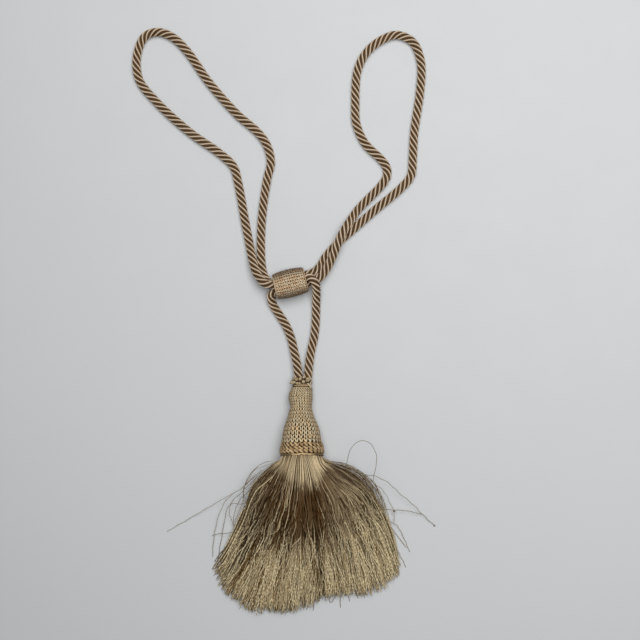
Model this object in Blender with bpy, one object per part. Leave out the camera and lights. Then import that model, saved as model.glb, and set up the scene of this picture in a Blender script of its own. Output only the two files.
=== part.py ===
"""Curtain tieback tassel, lying on a table.

One long twisted rope makes two hanging loops and two short strands. It runs
three times through a barrel-shaped slider bead, and both of its ends go into
the knotted binding at the neck of the tassel. Below the binding come the
crochet-covered head, the twisted band around its rim, and the cut fringe
skirt, which is spread out flat on the table.

Frame: +Z up off the table, +Y from the skirt up to the loops, +X to the right.
The origin is on the flat underside of the skirt, on the tassel's centre line.
All dimensions below are millimetres; MM turns them into metres.
"""

import math

import bmesh
import bpy
import numpy as np
from mathutils import Vector

MM = 0.001
GAP = 0.3  # clearance between neighbouring pieces

# ---- rope -------------------------------------------------------------------
ROPE_DIA = 7.0
ROPE_SIDES_RESOLUTION = 3  # 10 sides
ROPE_REST_Z = ROPE_DIA / 2 + 0.05
ROPE_POINTS = 80
ROPE_STEP_FINE = 9.5  # longest wanted point spacing close to the bead
ROPE_STEP_COARSE = 27.0  # and on the open loops, where they run straight
ROPE_FINE_REACH = 33.0  # distance from the bead's middle that counts as close
ROPE_TURN_PER_POINT = 0.62  # in a bend, the most it turns from point to point

# ---- slider bead ------------------------------------------------------------
BEAD_CENTRE = (-9.7, 203.3, 11.7)
PASSES_CENTRE = (-10.4, 203.8, 11.7)  # middle of the rope's three passes through it
BEAD_TURN_DEG = 14.0  # bead axis, anticlockwise from +X
BEAD_LENGTH = 27.2
BEAD_END_RADIUS = 10.5
BEAD_MID_RADIUS = 11.9
BEAD_BORE_RADIUS = 8.5
BEAD_MOUTH_RADIUS = 9.7

# ---- tassel head ------------------------------------------------------------
RIM_CENTRE = (0.0, 56.6, 19.0)  # middle of the rim's mouth
HEAD_TILT_DEG = 9.2  # the neck hangs lower than the rim
HEAD_SIDES = 40

# along = distance from the rim plane towards the neck, side = offset of the
# section's centre in X, radius = half width of the covered wooden mould
HEAD_SECTIONS = (
    # along, side, radius
    (0.0, 0.0, 17.0),
    (3.0, 0.2, 17.3),
    (9.0, -0.2, 17.0),
    (13.5, -0.2, 16.5),
    (18.0, -0.2, 15.9),
    (23.0, -0.2, 15.0),
    (28.0, -0.4, 13.3),
    (32.6, -0.7, 11.5),
    (37.8, -0.8, 9.9),
    (42.0, -0.6, 8.9),
    (45.4, -0.8, 9.4),
    (49.8, -1.1, 10.1),
    (54.2, -0.7, 9.7),
    (57.6, 0.1, 8.8),
    (59.6, 0.5, 8.2),
)

# ---- rim band: one thick twisted roll and one thin one below it -----------------
BAND_SIDES = 40
BAND_PROFILE = (
    # along, radius
    (0.6, 17.9),
    (1.5, 18.7),
    (2.7, 18.5),
    (3.3, 17.95),
    (4.4, 18.6),
    (7.2, 19.3),
    (10.0, 18.9),
    (12.4, 17.6),
)

# ---- knotted neck binding ---------------------------------------------------------
BINDING_SIDE = -0.2  # offset of its middle in X
BINDING_HALF_WIDTH = 9.4
BINDING_HALF_HEIGHT = 6.6
BINDING_START = 59.9  # along the head's axis
BINDING_END = 66.9
BINDING_KNOTS = 9  # lumps around the collar

# ---- fringe skirt -----------------------------------------------------------------
SKIRT_ROOT_RADIUS = 16.4
SKIRT_ACROSS = 64  # grid cells from the left edge to the right edge
SKIRT_ALONG = 19  # grid cells from the root to the hem
SKIRT_TUFTS = 15  # soft lengthwise swells
SKIRT_TUFT_HEIGHT = 0.9

# Each guide is one lengthwise line of the spread fringe seen from above. across
# is its place from the left edge (-1) to the right edge (+1); the columns are
# its x and y at the root, shoulder, upper, middle, lower and hem stations.
SKIRT_GUIDES = (
    # across, root,      shoulder,   upper,      middle,      lower,       hem
    (-1.00, (-18, 54), (-30.5, 45.5), (-42.5, 31), (-48, 14), (-60, -14), (-77, -42)),
    (-0.76, (-14, 54), (-22.5, 39), (-32.5, 17), (-40, -9), (-53, -39), (-66, -60)),
    (-0.46, (-9, 54), (-13, 34), (-19, 9), (-26, -22), (-34, -52), (-41, -78)),
    (-0.10, (0, 54), (0, 33), (-2, 4), (-4, -26), (-8, -52), (-11, -78)),
    (0.20, (6, 54), (11, 34), (15, 9), (18, -22), (19, -46), (20, -66)),
    (0.52, (12, 54), (22, 38), (33.5, 17), (41, -9), (48, -39), (53, -66)),
    (0.80, (16, 54), (29, 42), (47, 24.5), (59, 0), (67, -26), (74, -51)),
    (1.00, (19, 54), (32.5, 46), (51.5, 32.5), (65, 13), (75, -13), (78.5, -45)),
)
# crown = height over the middle, edge = height at the two side edges
SKIRT_CROWN = (
    # station, crown, edge
    (0.00, 36.0, 18.0),
    (0.20, 39.0, 9.0),
    (0.40, 33.0, 6.0),
    (0.60, 21.0, 4.5),
    (0.80, 12.0, 4.0),
    (1.00, 7.0, 3.5),
)
# the largest gaps in the hem: place across, how far up, half width across
HEM_GAPS = (
    # across, depth, half_width
    (-0.90, 0.10, 0.024),
    (-0.78, 0.06, 0.018),
    (-0.62, 0.05, 0.016),
    (-0.40, 0.06, 0.016),
    (-0.25, 0.05, 0.016),
    (0.03, 0.10, 0.030),
    (0.22, 0.04, 0.016),
    (0.36, 0.07, 0.020),
    (0.60, 0.06, 0.020),
    (0.77, 0.06, 0.018),
    (0.91, 0.09, 0.022),
)


def clear_scene():
    for obj in list(bpy.data.objects):
        bpy.data.objects.remove(obj, do_unlink=True)


def material(name, colour, roughness):
    mat = bpy.data.materials.new(name)
    mat.use_nodes = True
    shader = mat.node_tree.nodes["Principled BSDF"]
    shader.inputs["Base Color"].default_value = (*colour, 1.0)
    shader.inputs["Roughness"].default_value = roughness
    shader.inputs["Metallic"].default_value = 0.0
    mat.diffuse_color = (*colour, 1.0)
    return mat


def mesh_object(name, points, faces, mat, location=(0.0, 0.0, 0.0), rotation=(0.0, 0.0, 0.0)):
    """Points in millimetres become a smooth-shaded object with its faces out."""
    mesh = bpy.data.meshes.new(name)
    mesh.from_pydata([tuple(c * MM for c in p) for p in points], [], faces)
    shaped = bmesh.new()
    shaped.from_mesh(mesh)
    bmesh.ops.recalc_face_normals(shaped, faces=shaped.faces)
    bmesh.ops.triangulate(shaped, faces=shaped.faces)
    shaped.to_mesh(mesh)
    shaped.free()
    mesh.shade_smooth()
    mesh.set_sharp_from_angle(angle=math.radians(40))
    mesh.materials.append(mat)
    obj = bpy.data.objects.new(name, mesh)
    obj.location = [c * MM for c in location]
    obj.rotation_euler = rotation
    bpy.context.scene.collection.objects.link(obj)
    return obj


def smooth_table(rows, at):
    """Value of a table at `at`, on a smooth line through its rows (first column is the key)."""
    keys = [row[0] for row in rows]
    at = min(max(at, keys[0]), keys[-1])
    i = max(j for j in range(len(keys) - 1) if keys[j] <= at or j == 0)
    t = (at - keys[i]) / (keys[i + 1] - keys[i])

    def slope(j, column):
        lo, hi = max(j - 1, 0), min(j + 1, len(rows) - 1)
        return (rows[hi][column] - rows[lo][column]) / (keys[hi] - keys[lo])

    span = keys[i + 1] - keys[i]
    found = []
    for column in range(1, len(rows[0])):
        a, b = rows[i][column], rows[i + 1][column]
        ma, mb = slope(i, column) * span, slope(i + 1, column) * span
        found.append(
            (2 * t**3 - 3 * t**2 + 1) * a
            + (t**3 - 2 * t**2 + t) * ma
            + (3 * t**2 - 2 * t**3) * b
            + (t**3 - t**2) * mb
        )
    return found


def smoothstep(x):
    x = min(max(x, 0.0), 1.0)
    return x * x * (3 - 2 * x)


# ---- the rope's route ---------------------------------------------------------------


def in_bead(along, across, up):
    """A point given along the bead's axis, across it in the plane, and above its middle."""
    turn = math.radians(BEAD_TURN_DEG)
    return (
        PASSES_CENTRE[0] + along * math.cos(turn) - across * math.sin(turn),
        PASSES_CENTRE[1] + along * math.sin(turn) + across * math.cos(turn),
        PASSES_CENTRE[2] + up,
    )


LIE = ROPE_REST_Z
# x, y, z of the rope's middle line, from the left strand at the neck, once
# through the bead, around the right loop, back through the bead, around the
# left loop, through the bead a third time and down the right strand.
LEFT_STRAND = (
    # x, y, z
    (-2.8, 123.2, 8.2),
    (-4.3, 134.8, 6.3),
    (-6.8, 146.2, 4.6),
    (-9.6, 157.7, 3.7),
    (-13.4, 167.0, LIE),
    (-19.3, 176.5, LIE),
    (-24.4, 184.6, 4.2),
    (-26.0, 189.5, 6.5),
    (-25.8, 193.5, 8.7),
)
FIRST_PASS = (
    in_bead(-13.0, -4.2, -1.1),
    in_bead(0.0, -4.2, -1.3),
    in_bead(12.0, -4.2, -1.3),
)
RIGHT_LOOP = (
    # x, y, z: crosses over its own return on the way up
    (9.3, 204.9, 9.4),
    (15.6, 208.6, 8.9),
    (20.6, 215.1, 8.9),
    (26.0, 225.2, 9.2),
    (30.2, 236.0, 10.9),
    (33.8, 244.4, 11.4),
    (38.4, 252.3, 9.3),
    (43.4, 260.0, 5.0),
    (48.4, 267.0, LIE),
    (68.6, 288.1, LIE),
    (72.9, 295.4, LIE),
    (72.6, 302.7, LIE),
    (67.5, 310.0, LIE),
    (53.9, 323.7, LIE),
    (46.6, 340.6, LIE),
    (45.8, 355.0, LIE),
    (48.0, 387.0, LIE),
    (56.8, 403.0, LIE),
    (72.0, 414.0, LIE),
    (82.5, 416.2, LIE),
    (95.5, 409.8, LIE),
    (102.0, 393.0, LIE),
    (101.3, 368.0, LIE),
    (96.3, 332.8, LIE),
    (95.0, 310.0, LIE),
    (93.6, 296.0, LIE),
    (85.3, 285.5, LIE),
    (63.5, 267.0, LIE),
    (43.6, 249.4, LIE),
    (31.0, 238.2, LIE),
    (19.8, 225.3, LIE),
    (15.8, 218.3, 4.2),
    (10.1, 212.9, 6.6),
)
SECOND_PASS = (
    in_bead(12.5, 3.1, -2.9),
    in_bead(0.0, 3.0, -2.9),
    in_bead(-14.0, 3.0, -2.9),
)
LEFT_LOOP = (
    # x, y, z: its return lies on top where the two come together
    (-29.4, 205.4, 7.2),
    (-32.9, 211.4, 4.7),
    (-34.4, 218.5, LIE),
    (-35.2, 236.0, LIE),
    (-34.0, 262.0, LIE),
    (-29.6, 293.5, LIE),
    (-26.6, 307.0, LIE),
    (-29.8, 321.5, LIE),
    (-37.5, 332.5, LIE),
    (-55.0, 347.9, LIE),
    (-79.1, 375.0, LIE),
    (-98.9, 403.0, LIE),
    (-111.0, 414.5, LIE),
    (-123.5, 418.8, LIE),
    (-134.5, 415.0, LIE),
    (-141.2, 399.5, LIE),
    (-139.7, 378.5, LIE),
    (-124.7, 359.1, LIE),
    (-95.9, 332.8, LIE),
    (-70.0, 314.5, LIE),
    (-58.7, 303.5, LIE),
    (-54.6, 289.5, LIE),
    (-48.6, 256.0, LIE),
    (-44.8, 236.5, 3.9),
    (-42.6, 225.5, 6.8),
    (-40.0, 215.6, 10.0),
    (-35.6, 207.4, 13.2),
    (-30.5, 202.8, 15.2),
)
THIRD_PASS = (
    in_bead(-13.0, 1.0, 4.1),
    in_bead(0.0, 0.8, 4.1),
    in_bead(12.0, 0.6, 4.1),
)
RIGHT_STRAND = (
    # x, y, z: bends down over the right loop
    (5.6, 207.9, 16.7),
    (9.6, 206.0, 17.1),
    (12.0, 202.2, 15.7),
    (12.6, 197.6, 11.8),
    (12.5, 191.6, 7.6),
    (12.3, 185.0, 4.5),
    (12.1, 177.0, LIE),
    (11.6, 166.5, LIE),
    (10.4, 157.0, 3.7),
    (8.0, 146.2, 4.6),
    (6.3, 134.8, 6.3),
    (5.2, 123.2, 8.2),
)


def rope_route():
    return [
        Vector(p)
        for p in LEFT_STRAND
        + FIRST_PASS
        + RIGHT_LOOP
        + SECOND_PASS
        + LEFT_LOOP
        + THIRD_PASS
        + RIGHT_STRAND
    ]


def smooth_line(route, steps=24):
    """Centripetal Catmull-Rom curve through the route's points, closely sampled."""
    padded = [route[0] * 2 - route[1], *route, route[-1] * 2 - route[-2]]
    line = [route[0]]
    for p0, p1, p2, p3 in zip(padded, padded[1:], padded[2:], padded[3:]):
        t0 = 0.0
        t1 = t0 + math.sqrt((p1 - p0).length)
        t2 = t1 + math.sqrt((p2 - p1).length)
        t3 = t2 + math.sqrt((p3 - p2).length)
        for k in range(1, steps + 1):
            t = t1 + (t2 - t1) * k / steps
            a1 = p0 * ((t1 - t) / (t1 - t0)) + p1 * ((t - t0) / (t1 - t0))
            a2 = p1 * ((t2 - t) / (t2 - t1)) + p2 * ((t - t1) / (t2 - t1))
            a3 = p2 * ((t3 - t) / (t3 - t2)) + p3 * ((t - t2) / (t3 - t2))
            b1 = a1 * ((t2 - t) / (t2 - t0)) + a2 * ((t - t0) / (t2 - t0))
            b2 = a2 * ((t3 - t) / (t3 - t1)) + a3 * ((t - t1) / (t3 - t1))
            line.append(b1 * ((t2 - t) / (t2 - t1)) + b2 * ((t - t1) / (t2 - t1)))
    return line


def rope_points():
    """The smooth line's points that the rope's tube uses, closer in bends and beside the bead."""
    line = smooth_line(rope_route())
    for point in line:
        point.z = max(point.z, ROPE_REST_Z)
    centre = Vector(BEAD_CENTRE)
    lengths = []
    for a, b, c in zip(line, line[1:], [*line[2:], line[-1] * 2 - line[-2]]):
        near = ((a + b) / 2 - centre).length < ROPE_FINE_REACH
        lengths.append(
            (b - a).length / (ROPE_STEP_FINE if near else ROPE_STEP_COARSE)
            + (b - a).angle(c - b, 0.0) / ROPE_TURN_PER_POINT
        )
    total = sum(lengths)
    count = ROPE_POINTS - 1
    picked, walked, wanted = [line[0]], 0.0, 1
    for length, a, b in zip(lengths, line, line[1:]):
        while wanted < count and walked + length >= wanted * total / count:
            share = (wanted * total / count - walked) / length
            picked.append(a.lerp(b, share))
            wanted += 1
        walked += length
    picked.append(line[-1])
    return picked


def build_rope():
    points = rope_points()
    curve = bpy.data.curves.new("tieback_cord", "CURVE")
    curve.dimensions = "3D"
    curve.bevel_depth = ROPE_DIA / 2 * MM
    curve.bevel_resolution = ROPE_SIDES_RESOLUTION
    curve.use_fill_caps = True
    spline = curve.splines.new("POLY")
    spline.points.add(len(points) - 1)
    for target, point in zip(spline.points, points):
        target.co = (*(point * MM), 1.0)
    spline.use_smooth = True
    curve.materials.append(material("twisted_rope", (0.30, 0.21, 0.15), 0.55))
    obj = bpy.data.objects.new("tieback_cord", curve)
    bpy.context.scene.collection.objects.link(obj)
    return obj


# ---- bead ---------------------------------------------------------------------------


def ring_faces(first, second, count):
    """Quads between two rings of points, given by their first indices."""
    return [
        (first + k, first + (k + 1) % count, second + (k + 1) % count, second + k)
        for k in range(count)
    ]


def build_bead():
    half = BEAD_LENGTH / 2
    sides, steps = 40, 12
    crown = BEAD_MID_RADIUS - BEAD_END_RADIUS
    outer = [(-half, BEAD_END_RADIUS - 0.6)]
    for k in range(steps + 1):
        along = -half + 0.6 + (BEAD_LENGTH - 1.2) * k / steps
        outer.append((along, BEAD_END_RADIUS + crown * (1 - (along / half) ** 2)))
    outer.append((half, BEAD_END_RADIUS - 0.6))
    inner = [
        (half, BEAD_MOUTH_RADIUS),
        (half - 1.5, BEAD_MOUTH_RADIUS - 0.7),
        (half - 4.5, BEAD_BORE_RADIUS),
        (-half + 4.5, BEAD_BORE_RADIUS),
        (-half + 1.5, BEAD_MOUTH_RADIUS - 0.7),
        (-half, BEAD_MOUTH_RADIUS),
    ]
    turn = math.radians(BEAD_TURN_DEG)
    points, faces = [], []
    profile = outer + inner
    for along, radius in profile:
        for k in range(sides):
            angle = 2 * math.pi * k / sides
            y, z = radius * math.cos(angle), radius * math.sin(angle)
            x, y = (
                along * math.cos(turn) - y * math.sin(turn),
                along * math.sin(turn) + y * math.cos(turn),
            )
            # the bead is a little flattened where it touches the table
            points.append((x, y, max(z, -BEAD_CENTRE[2])))
    for k in range(len(profile)):
        faces += ring_faces(k * sides, (k + 1) % len(profile) * sides, sides)
    return mesh_object(
        "slider_bead",
        points,
        faces,
        material("crochet_bead", (0.46, 0.37, 0.23), 0.5),
        location=BEAD_CENTRE,
    )


# ---- head, rim band and neck binding ------------------------------------------------


def turned(profile, sides, flat=None):
    """Points and ring starts of a shape turned about the head's axis.

    profile rows are along, side, radius; flat, if given, is the lowest world z.
    """
    tilt = math.radians(HEAD_TILT_DEG)
    points, starts = [], []
    for along, side, radius in profile:
        starts.append(len(points))
        for k in range(sides):
            angle = 2 * math.pi * k / sides
            x = side + radius * math.cos(angle)
            up = radius * math.sin(angle)
            y = RIM_CENTRE[1] + along * math.cos(tilt) + up * math.sin(tilt)
            z = RIM_CENTRE[2] - along * math.sin(tilt) + up * math.cos(tilt)
            points.append((RIM_CENTRE[0] + x, y, z if flat is None else max(z, flat)))
    return points, starts


def build_head():
    points, starts = turned(HEAD_SECTIONS, HEAD_SIDES)
    faces = []
    for a, b in zip(starts, starts[1:]):
        faces += ring_faces(a, b, HEAD_SIDES)
    faces.append(tuple(range(HEAD_SIDES))[::-1])
    faces.append(tuple(range(starts[-1], starts[-1] + HEAD_SIDES)))
    return mesh_object(
        "tassel_head", points, faces, material("crochet_head", (0.46, 0.37, 0.23), 0.5)
    )


def build_band():
    outer = [(along, 0.1, radius) for along, radius in BAND_PROFILE]
    inner = []
    for along, _, _ in reversed(outer):
        side, radius = smooth_table(HEAD_SECTIONS, along)
        # the head's facets cut inside its circle, and its side offset changes
        inner.append((along, 0.1, radius + abs(side - 0.1) + GAP))
    profile = outer + inner
    points, starts = turned(profile, BAND_SIDES, flat=0.0)
    faces = []
    for k, start in enumerate(starts):
        faces += ring_faces(start, starts[(k + 1) % len(starts)], BAND_SIDES)
    return mesh_object(
        "rim_band", points, faces, material("twisted_band", (0.42, 0.33, 0.20), 0.5)
    )


def build_binding():
    sides, steps = 54, 6
    tilt = math.radians(HEAD_TILT_DEG)
    points, starts = [], []
    for j in range(steps + 1):
        share = j / steps
        along = BINDING_START + (BINDING_END - BINDING_START) * share
        belly = 1 - 0.16 * (2 * share - 1) ** 4
        starts.append(len(points))
        for k in range(sides):
            angle = 2 * math.pi * k / sides
            lump = math.cos(BINDING_KNOTS * angle + 2.2 * math.sin(5.0 * share))
            inside = math.sin(math.pi * share)
            swell = belly * (1 + 0.075 * lump * inside)
            up = BINDING_HALF_HEIGHT * swell * math.sin(angle)
            points.append(
                (
                    BINDING_SIDE + BINDING_HALF_WIDTH * swell * math.cos(angle),
                    RIM_CENTRE[1] + along * math.cos(tilt) + up * math.sin(tilt),
                    RIM_CENTRE[2] - along * math.sin(tilt) + up * math.cos(tilt),
                )
            )
    faces = []
    for a, b in zip(starts, starts[1:]):
        faces += ring_faces(a, b, sides)
    faces.append(tuple(range(sides))[::-1])
    faces.append(tuple(range(starts[-1], starts[-1] + sides)))
    return mesh_object(
        "neck_binding", points, faces, material("knotted_binding", (0.50, 0.42, 0.28), 0.5)
    )


# ---- skirt --------------------------------------------------------------------------


def skirt_plan(across, station):
    """Where a place on the spread fringe lies, seen from above."""
    stations = len(SKIRT_GUIDES[0]) - 1
    rows = []
    for guide in SKIRT_GUIDES:
        line = [(k / (stations - 1), *guide[1 + k]) for k in range(stations)]
        if station > 1:
            (ax, ay), (bx, by) = guide[-2], guide[-1]
            over = (station - 1) * (stations - 1)
            rows.append((guide[0], bx + (bx - ax) * over, by + (by - ay) * over))
        else:
            rows.append((guide[0], *smooth_table(line, station)))
    return smooth_table(rows, across)


def hem_station(across):
    """How far along its guides the fringe reaches: uneven, with the largest gaps cut in."""
    reach = 1.0 + 0.012 * math.sin(9 * across + 1) + 0.010 * math.sin(23 * across)
    for place, depth, half_width in HEM_GAPS:
        reach -= depth * max(0.0, 1 - abs(across - place) / half_width)
    return reach


def skirt_height(across, station):
    crown, edge = smooth_table(SKIRT_CROWN, min(station, 1.0))
    round_off = max(0.0, 1 - abs(across) ** 2.3) ** 0.55
    swell = SKIRT_TUFT_HEIGHT * math.cos(
        math.pi * SKIRT_TUFTS * across + 1.5 * math.sin(4 * station)
    )
    return edge + (crown - edge) * round_off + swell * round_off * smoothstep(station * 4)


def build_skirt():
    tilt = math.radians(HEAD_TILT_DEG)
    across = [-1 + 2 * k / SKIRT_ACROSS for k in range(SKIRT_ACROSS + 1)]
    points, starts = [], []
    for j in range(SKIRT_ALONG + 1):
        share = (j / SKIRT_ALONG) ** 1.1
        spread = smoothstep(share / 0.10)
        top, under = [], []
        for u in across:
            station = share * hem_station(u)
            x, y = skirt_plan(u, station)
            angle = math.pi / 2 * u
            back = -GAP - 60 * share
            for side, ring in ((1, top), (-1, under)):
                up = side * SKIRT_ROOT_RADIUS * math.cos(angle)
                root = (
                    SKIRT_ROOT_RADIUS * math.sin(angle),
                    RIM_CENTRE[1] + back * math.cos(tilt) + up * math.sin(tilt),
                    RIM_CENTRE[2] - back * math.sin(tilt) + up * math.cos(tilt),
                )
                free = (x, y, skirt_height(u, station) if side > 0 else 0.0)
                ring.append(
                    tuple(a + (b - a) * spread for a, b in zip(root, free))
                )
        ring = top + (under[1:-1] if j == 0 else under)[::-1]
        if j == 0:
            # the root closes to a full circle, so its two side points are shared
            ring = top + under[::-1]
        starts.append(len(points))
        points += ring
    count = len(points) // (SKIRT_ALONG + 1)
    faces = []
    for a, b in zip(starts, starts[1:]):
        faces += ring_faces(a, b, count)
    width = SKIRT_ACROSS + 1
    for start in (starts[0], starts[-1]):
        for k in range(width - 1):
            faces.append(
                (start + k, start + k + 1, start + count - 2 - k, start + count - 1 - k)
            )
    mesh = mesh_object(
        "tassel_skirt", points, faces, material("cut_fringe", (0.40, 0.32, 0.19), 0.5)
    )
    weld = mesh.modifiers.new("weld", "WELD")
    weld.merge_threshold = 0.00001
    return mesh


clear_scene()
build_rope()
build_bead()
build_head()
build_band()
build_binding()
build_skirt()
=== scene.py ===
"""Looks of a curtain tieback tassel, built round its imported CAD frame.

A twisted rope with light cords laid between its dark plies lies in two loops
and runs three times through a crochet-covered slider bead. Its two ends go into
the knotted binding at the neck of the tassel. Below that come the head, covered
in stitches over a mould, the twisted band round its rim, and the cut fringe,
whose threads are spread out over the table, with some stray ones round it.

All sizes below are millimetres in the CAD's frame, and MM turns them into metres.
"""

import math

import bpy
import numpy as np
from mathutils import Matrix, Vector


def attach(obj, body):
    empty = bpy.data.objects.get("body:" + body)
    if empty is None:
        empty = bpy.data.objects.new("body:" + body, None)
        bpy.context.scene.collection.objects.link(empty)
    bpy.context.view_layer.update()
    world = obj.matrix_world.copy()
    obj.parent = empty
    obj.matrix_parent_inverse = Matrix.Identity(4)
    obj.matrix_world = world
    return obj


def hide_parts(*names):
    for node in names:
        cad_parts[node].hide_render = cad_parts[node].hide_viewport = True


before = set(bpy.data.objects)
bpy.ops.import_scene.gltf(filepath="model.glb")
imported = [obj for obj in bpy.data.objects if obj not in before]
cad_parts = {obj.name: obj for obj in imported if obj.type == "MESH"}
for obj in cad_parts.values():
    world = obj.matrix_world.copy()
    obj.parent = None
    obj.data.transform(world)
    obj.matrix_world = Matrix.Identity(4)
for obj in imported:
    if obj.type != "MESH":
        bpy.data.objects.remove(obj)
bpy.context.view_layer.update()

MM = 0.001

# ---- camera -------------------------------------------------------------------------
CAMERA_AT = (15.5, 172.0, 1070.2)  # straight above the table, +Y up in the picture
CAMERA_LENS = 70.0
CAMERA_SENSOR = 36.0

# ---- rope ---------------------------------------------------------------------------
ROPE_DIA = 7.0
ROPE_REST_Z = ROPE_DIA / 2 + 0.05
ROPE_LEAD = 22.3  # length in which a strand goes once round
ROPE_STRANDS = 4
ROPE_STEP = 1.15  # from ring to ring
ROPE_TUCK = 3.0  # how far each end runs on inside the neck binding
# one strand of the rope's section: a thin light cord, its two grooves and a wide dark ply
ROPE_SECTION = (
    # degrees, radius, light cord
    (-15.6, 3.06, 1.0),
    (-11.4, 3.50, 1.0),
    (-5.8, 3.71, 1.0),
    (0.0, 3.76, 1.0),
    (5.8, 3.71, 1.0),
    (11.4, 3.50, 1.0),
    (15.6, 3.06, 1.0),
    (19.6, 2.80, 0.0),
    (25.2, 3.10, 0.0),
    (31.0, 3.33, 0.0),
    (38.0, 3.45, 0.0),
    (45.0, 3.49, 0.0),
    (52.0, 3.45, 0.0),
    (59.0, 3.33, 0.0),
    (64.8, 3.10, 0.0),
    (70.4, 2.80, 0.0),
)

# ---- slider bead --------------------------------------------------------------------
BEAD_CENTRE = (-9.7, 203.3, 11.7)
PASSES_CENTRE = (-10.4, 203.8, 11.7)  # middle of the rope's three passes through it
BEAD_TURN_DEG = 14.0
BEAD_LENGTH = 27.2
BEAD_END_RADIUS = 10.5
BEAD_MID_RADIUS = 11.9
BEAD_BORE_RADIUS = 8.7
BEAD_COLUMNS = 28
BEAD_ROWS = 13

# ---- head ---------------------------------------------------------------------------
RIM_CENTRE = (0.0, 56.6, 19.0)
HEAD_TILT_DEG = 9.2
HEAD_SECTIONS = (
    # along, side, radius
    (0.0, 0.0, 17.0),
    (3.0, 0.2, 17.3),
    (9.0, -0.2, 17.0),
    (13.5, -0.2, 16.5),
    (18.0, -0.2, 15.9),
    (23.0, -0.2, 15.0),
    (28.0, -0.4, 13.3),
    (32.6, -0.7, 11.5),
    (37.8, -0.8, 9.9),
    (42.0, -0.6, 8.9),
    (45.4, -0.8, 9.4),
    (49.8, -1.1, 10.1),
    (54.2, -0.7, 9.7),
    (57.6, 0.1, 8.8),
    (59.6, 0.5, 8.2),
)
HEAD_COLUMNS = 26
# the rows of stitches: where the first one starts along the head, and their heights
HEAD_ROWS_START = 12.6
HEAD_ROW_HEIGHTS = (
    3.3, 3.4, 3.5, 3.6, 3.6, 3.4, 3.2, 3.0, 2.7, 2.4, 2.2, 2.1, 2.1, 2.1, 2.0, 2.0, 2.0, 1.9,
)

# ---- rim band -----------------------------------------------------------------------
BAND_COLUMNS = 27
BAND_SECTIONS = (
    # along, radius that the stitches are worked on
    (2.4, 16.4),
    (3.4, 17.5),
    (4.6, 17.95),
    (6.4, 17.75),
    (9.0, 17.25),
    (13.4, 16.55),
)
BAND_ROWS = (3.6, 6.0, 9.1, 12.6)  # where its rows of slanting stitches start and end along the head
BAND_CORD_ALONG = 1.25
BAND_CORD_RADIUS = 17.55
BAND_CORD_TURNS = 12

# ---- neck binding -------------------------------------------------------------------
BINDING_SIDE = -0.2
BINDING_HALF_WIDTH = 9.4
BINDING_HALF_HEIGHT = 6.6
BINDING_START = 59.9
BINDING_END = 66.9

# ---- fringe -------------------------------------------------------------------------
SKIRT_ROOT_RADIUS = 17.3
SKIRT_TUFTS = 15
SKIRT_TUFT_HEIGHT = 0.6
SKIRT_GUIDES = (
    # across, root,      shoulder,   upper,      middle,      lower,       hem
    (-1.00, (-18, 54), (-30.5, 45.5), (-42.5, 31), (-48, 14), (-60, -14), (-77, -42)),
    (-0.76, (-14, 54), (-22.5, 39), (-32.5, 17), (-40, -9), (-53, -39), (-66, -60)),
    (-0.46, (-9, 54), (-13, 34), (-19, 9), (-26, -22), (-34, -52), (-41, -78)),
    (-0.10, (0, 54), (0, 33), (-2, 4), (-4, -26), (-8, -52), (-11, -78)),
    (0.20, (6, 54), (11, 34), (15, 9), (18, -22), (19, -46), (20, -66)),
    (0.52, (12, 54), (22, 38), (33.5, 17), (41, -9), (48, -39), (53, -66)),
    (0.80, (16, 54), (29, 42), (47, 24.5), (59, 0), (67, -26), (74, -51)),
    (1.00, (19, 54), (32.5, 46), (51.5, 32.5), (65, 13), (75, -13), (78.5, -45)),
)
SKIRT_CROWN = (
    # station, crown, edge
    (0.00, 36.0, 18.0),
    (0.20, 39.0, 9.0),
    (0.40, 33.0, 6.0),
    (0.60, 21.0, 4.5),
    (0.80, 12.0, 4.0),
    (1.00, 7.0, 3.5),
)
HEM_GAPS = (
    # across, depth, half_width
    (-0.90, 0.10, 0.024),
    (-0.78, 0.06, 0.018),
    (-0.62, 0.05, 0.016),
    (-0.40, 0.06, 0.016),
    (-0.25, 0.05, 0.016),
    (0.03, 0.10, 0.030),
    (0.22, 0.04, 0.016),
    (0.36, 0.07, 0.020),
    (0.60, 0.06, 0.020),
    (0.77, 0.06, 0.018),
    (0.91, 0.09, 0.022),
)
# where threads come out round the rim's upper half: across, and to the side, as a share of the radius
FRINGE_ROOTS = (
    (-1.0, -1.0), (-0.76, -0.77), (-0.46, -0.40), (-0.10, -0.03), (0.20, 0.22), (0.52, 0.67), (0.80, 0.92), (1.0, 1.0),
)
FRINGE_THREADS = 1760
FRINGE_PIECES = 4
FRINGE_POINTS = 44
FRINGE_RADIUS = 0.405
FRINGE_PILE = 6.0  # how far below the surface its visible threads may lie


# ---- numbers ------------------------------------------------------------------------


def unit(vectors):
    return vectors / np.maximum(np.linalg.norm(vectors, axis=-1, keepdims=True), 1e-12)


def smoothstep(x):
    x = np.clip(x, 0.0, 1.0)
    return x * x * (3 - 2 * x)


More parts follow.
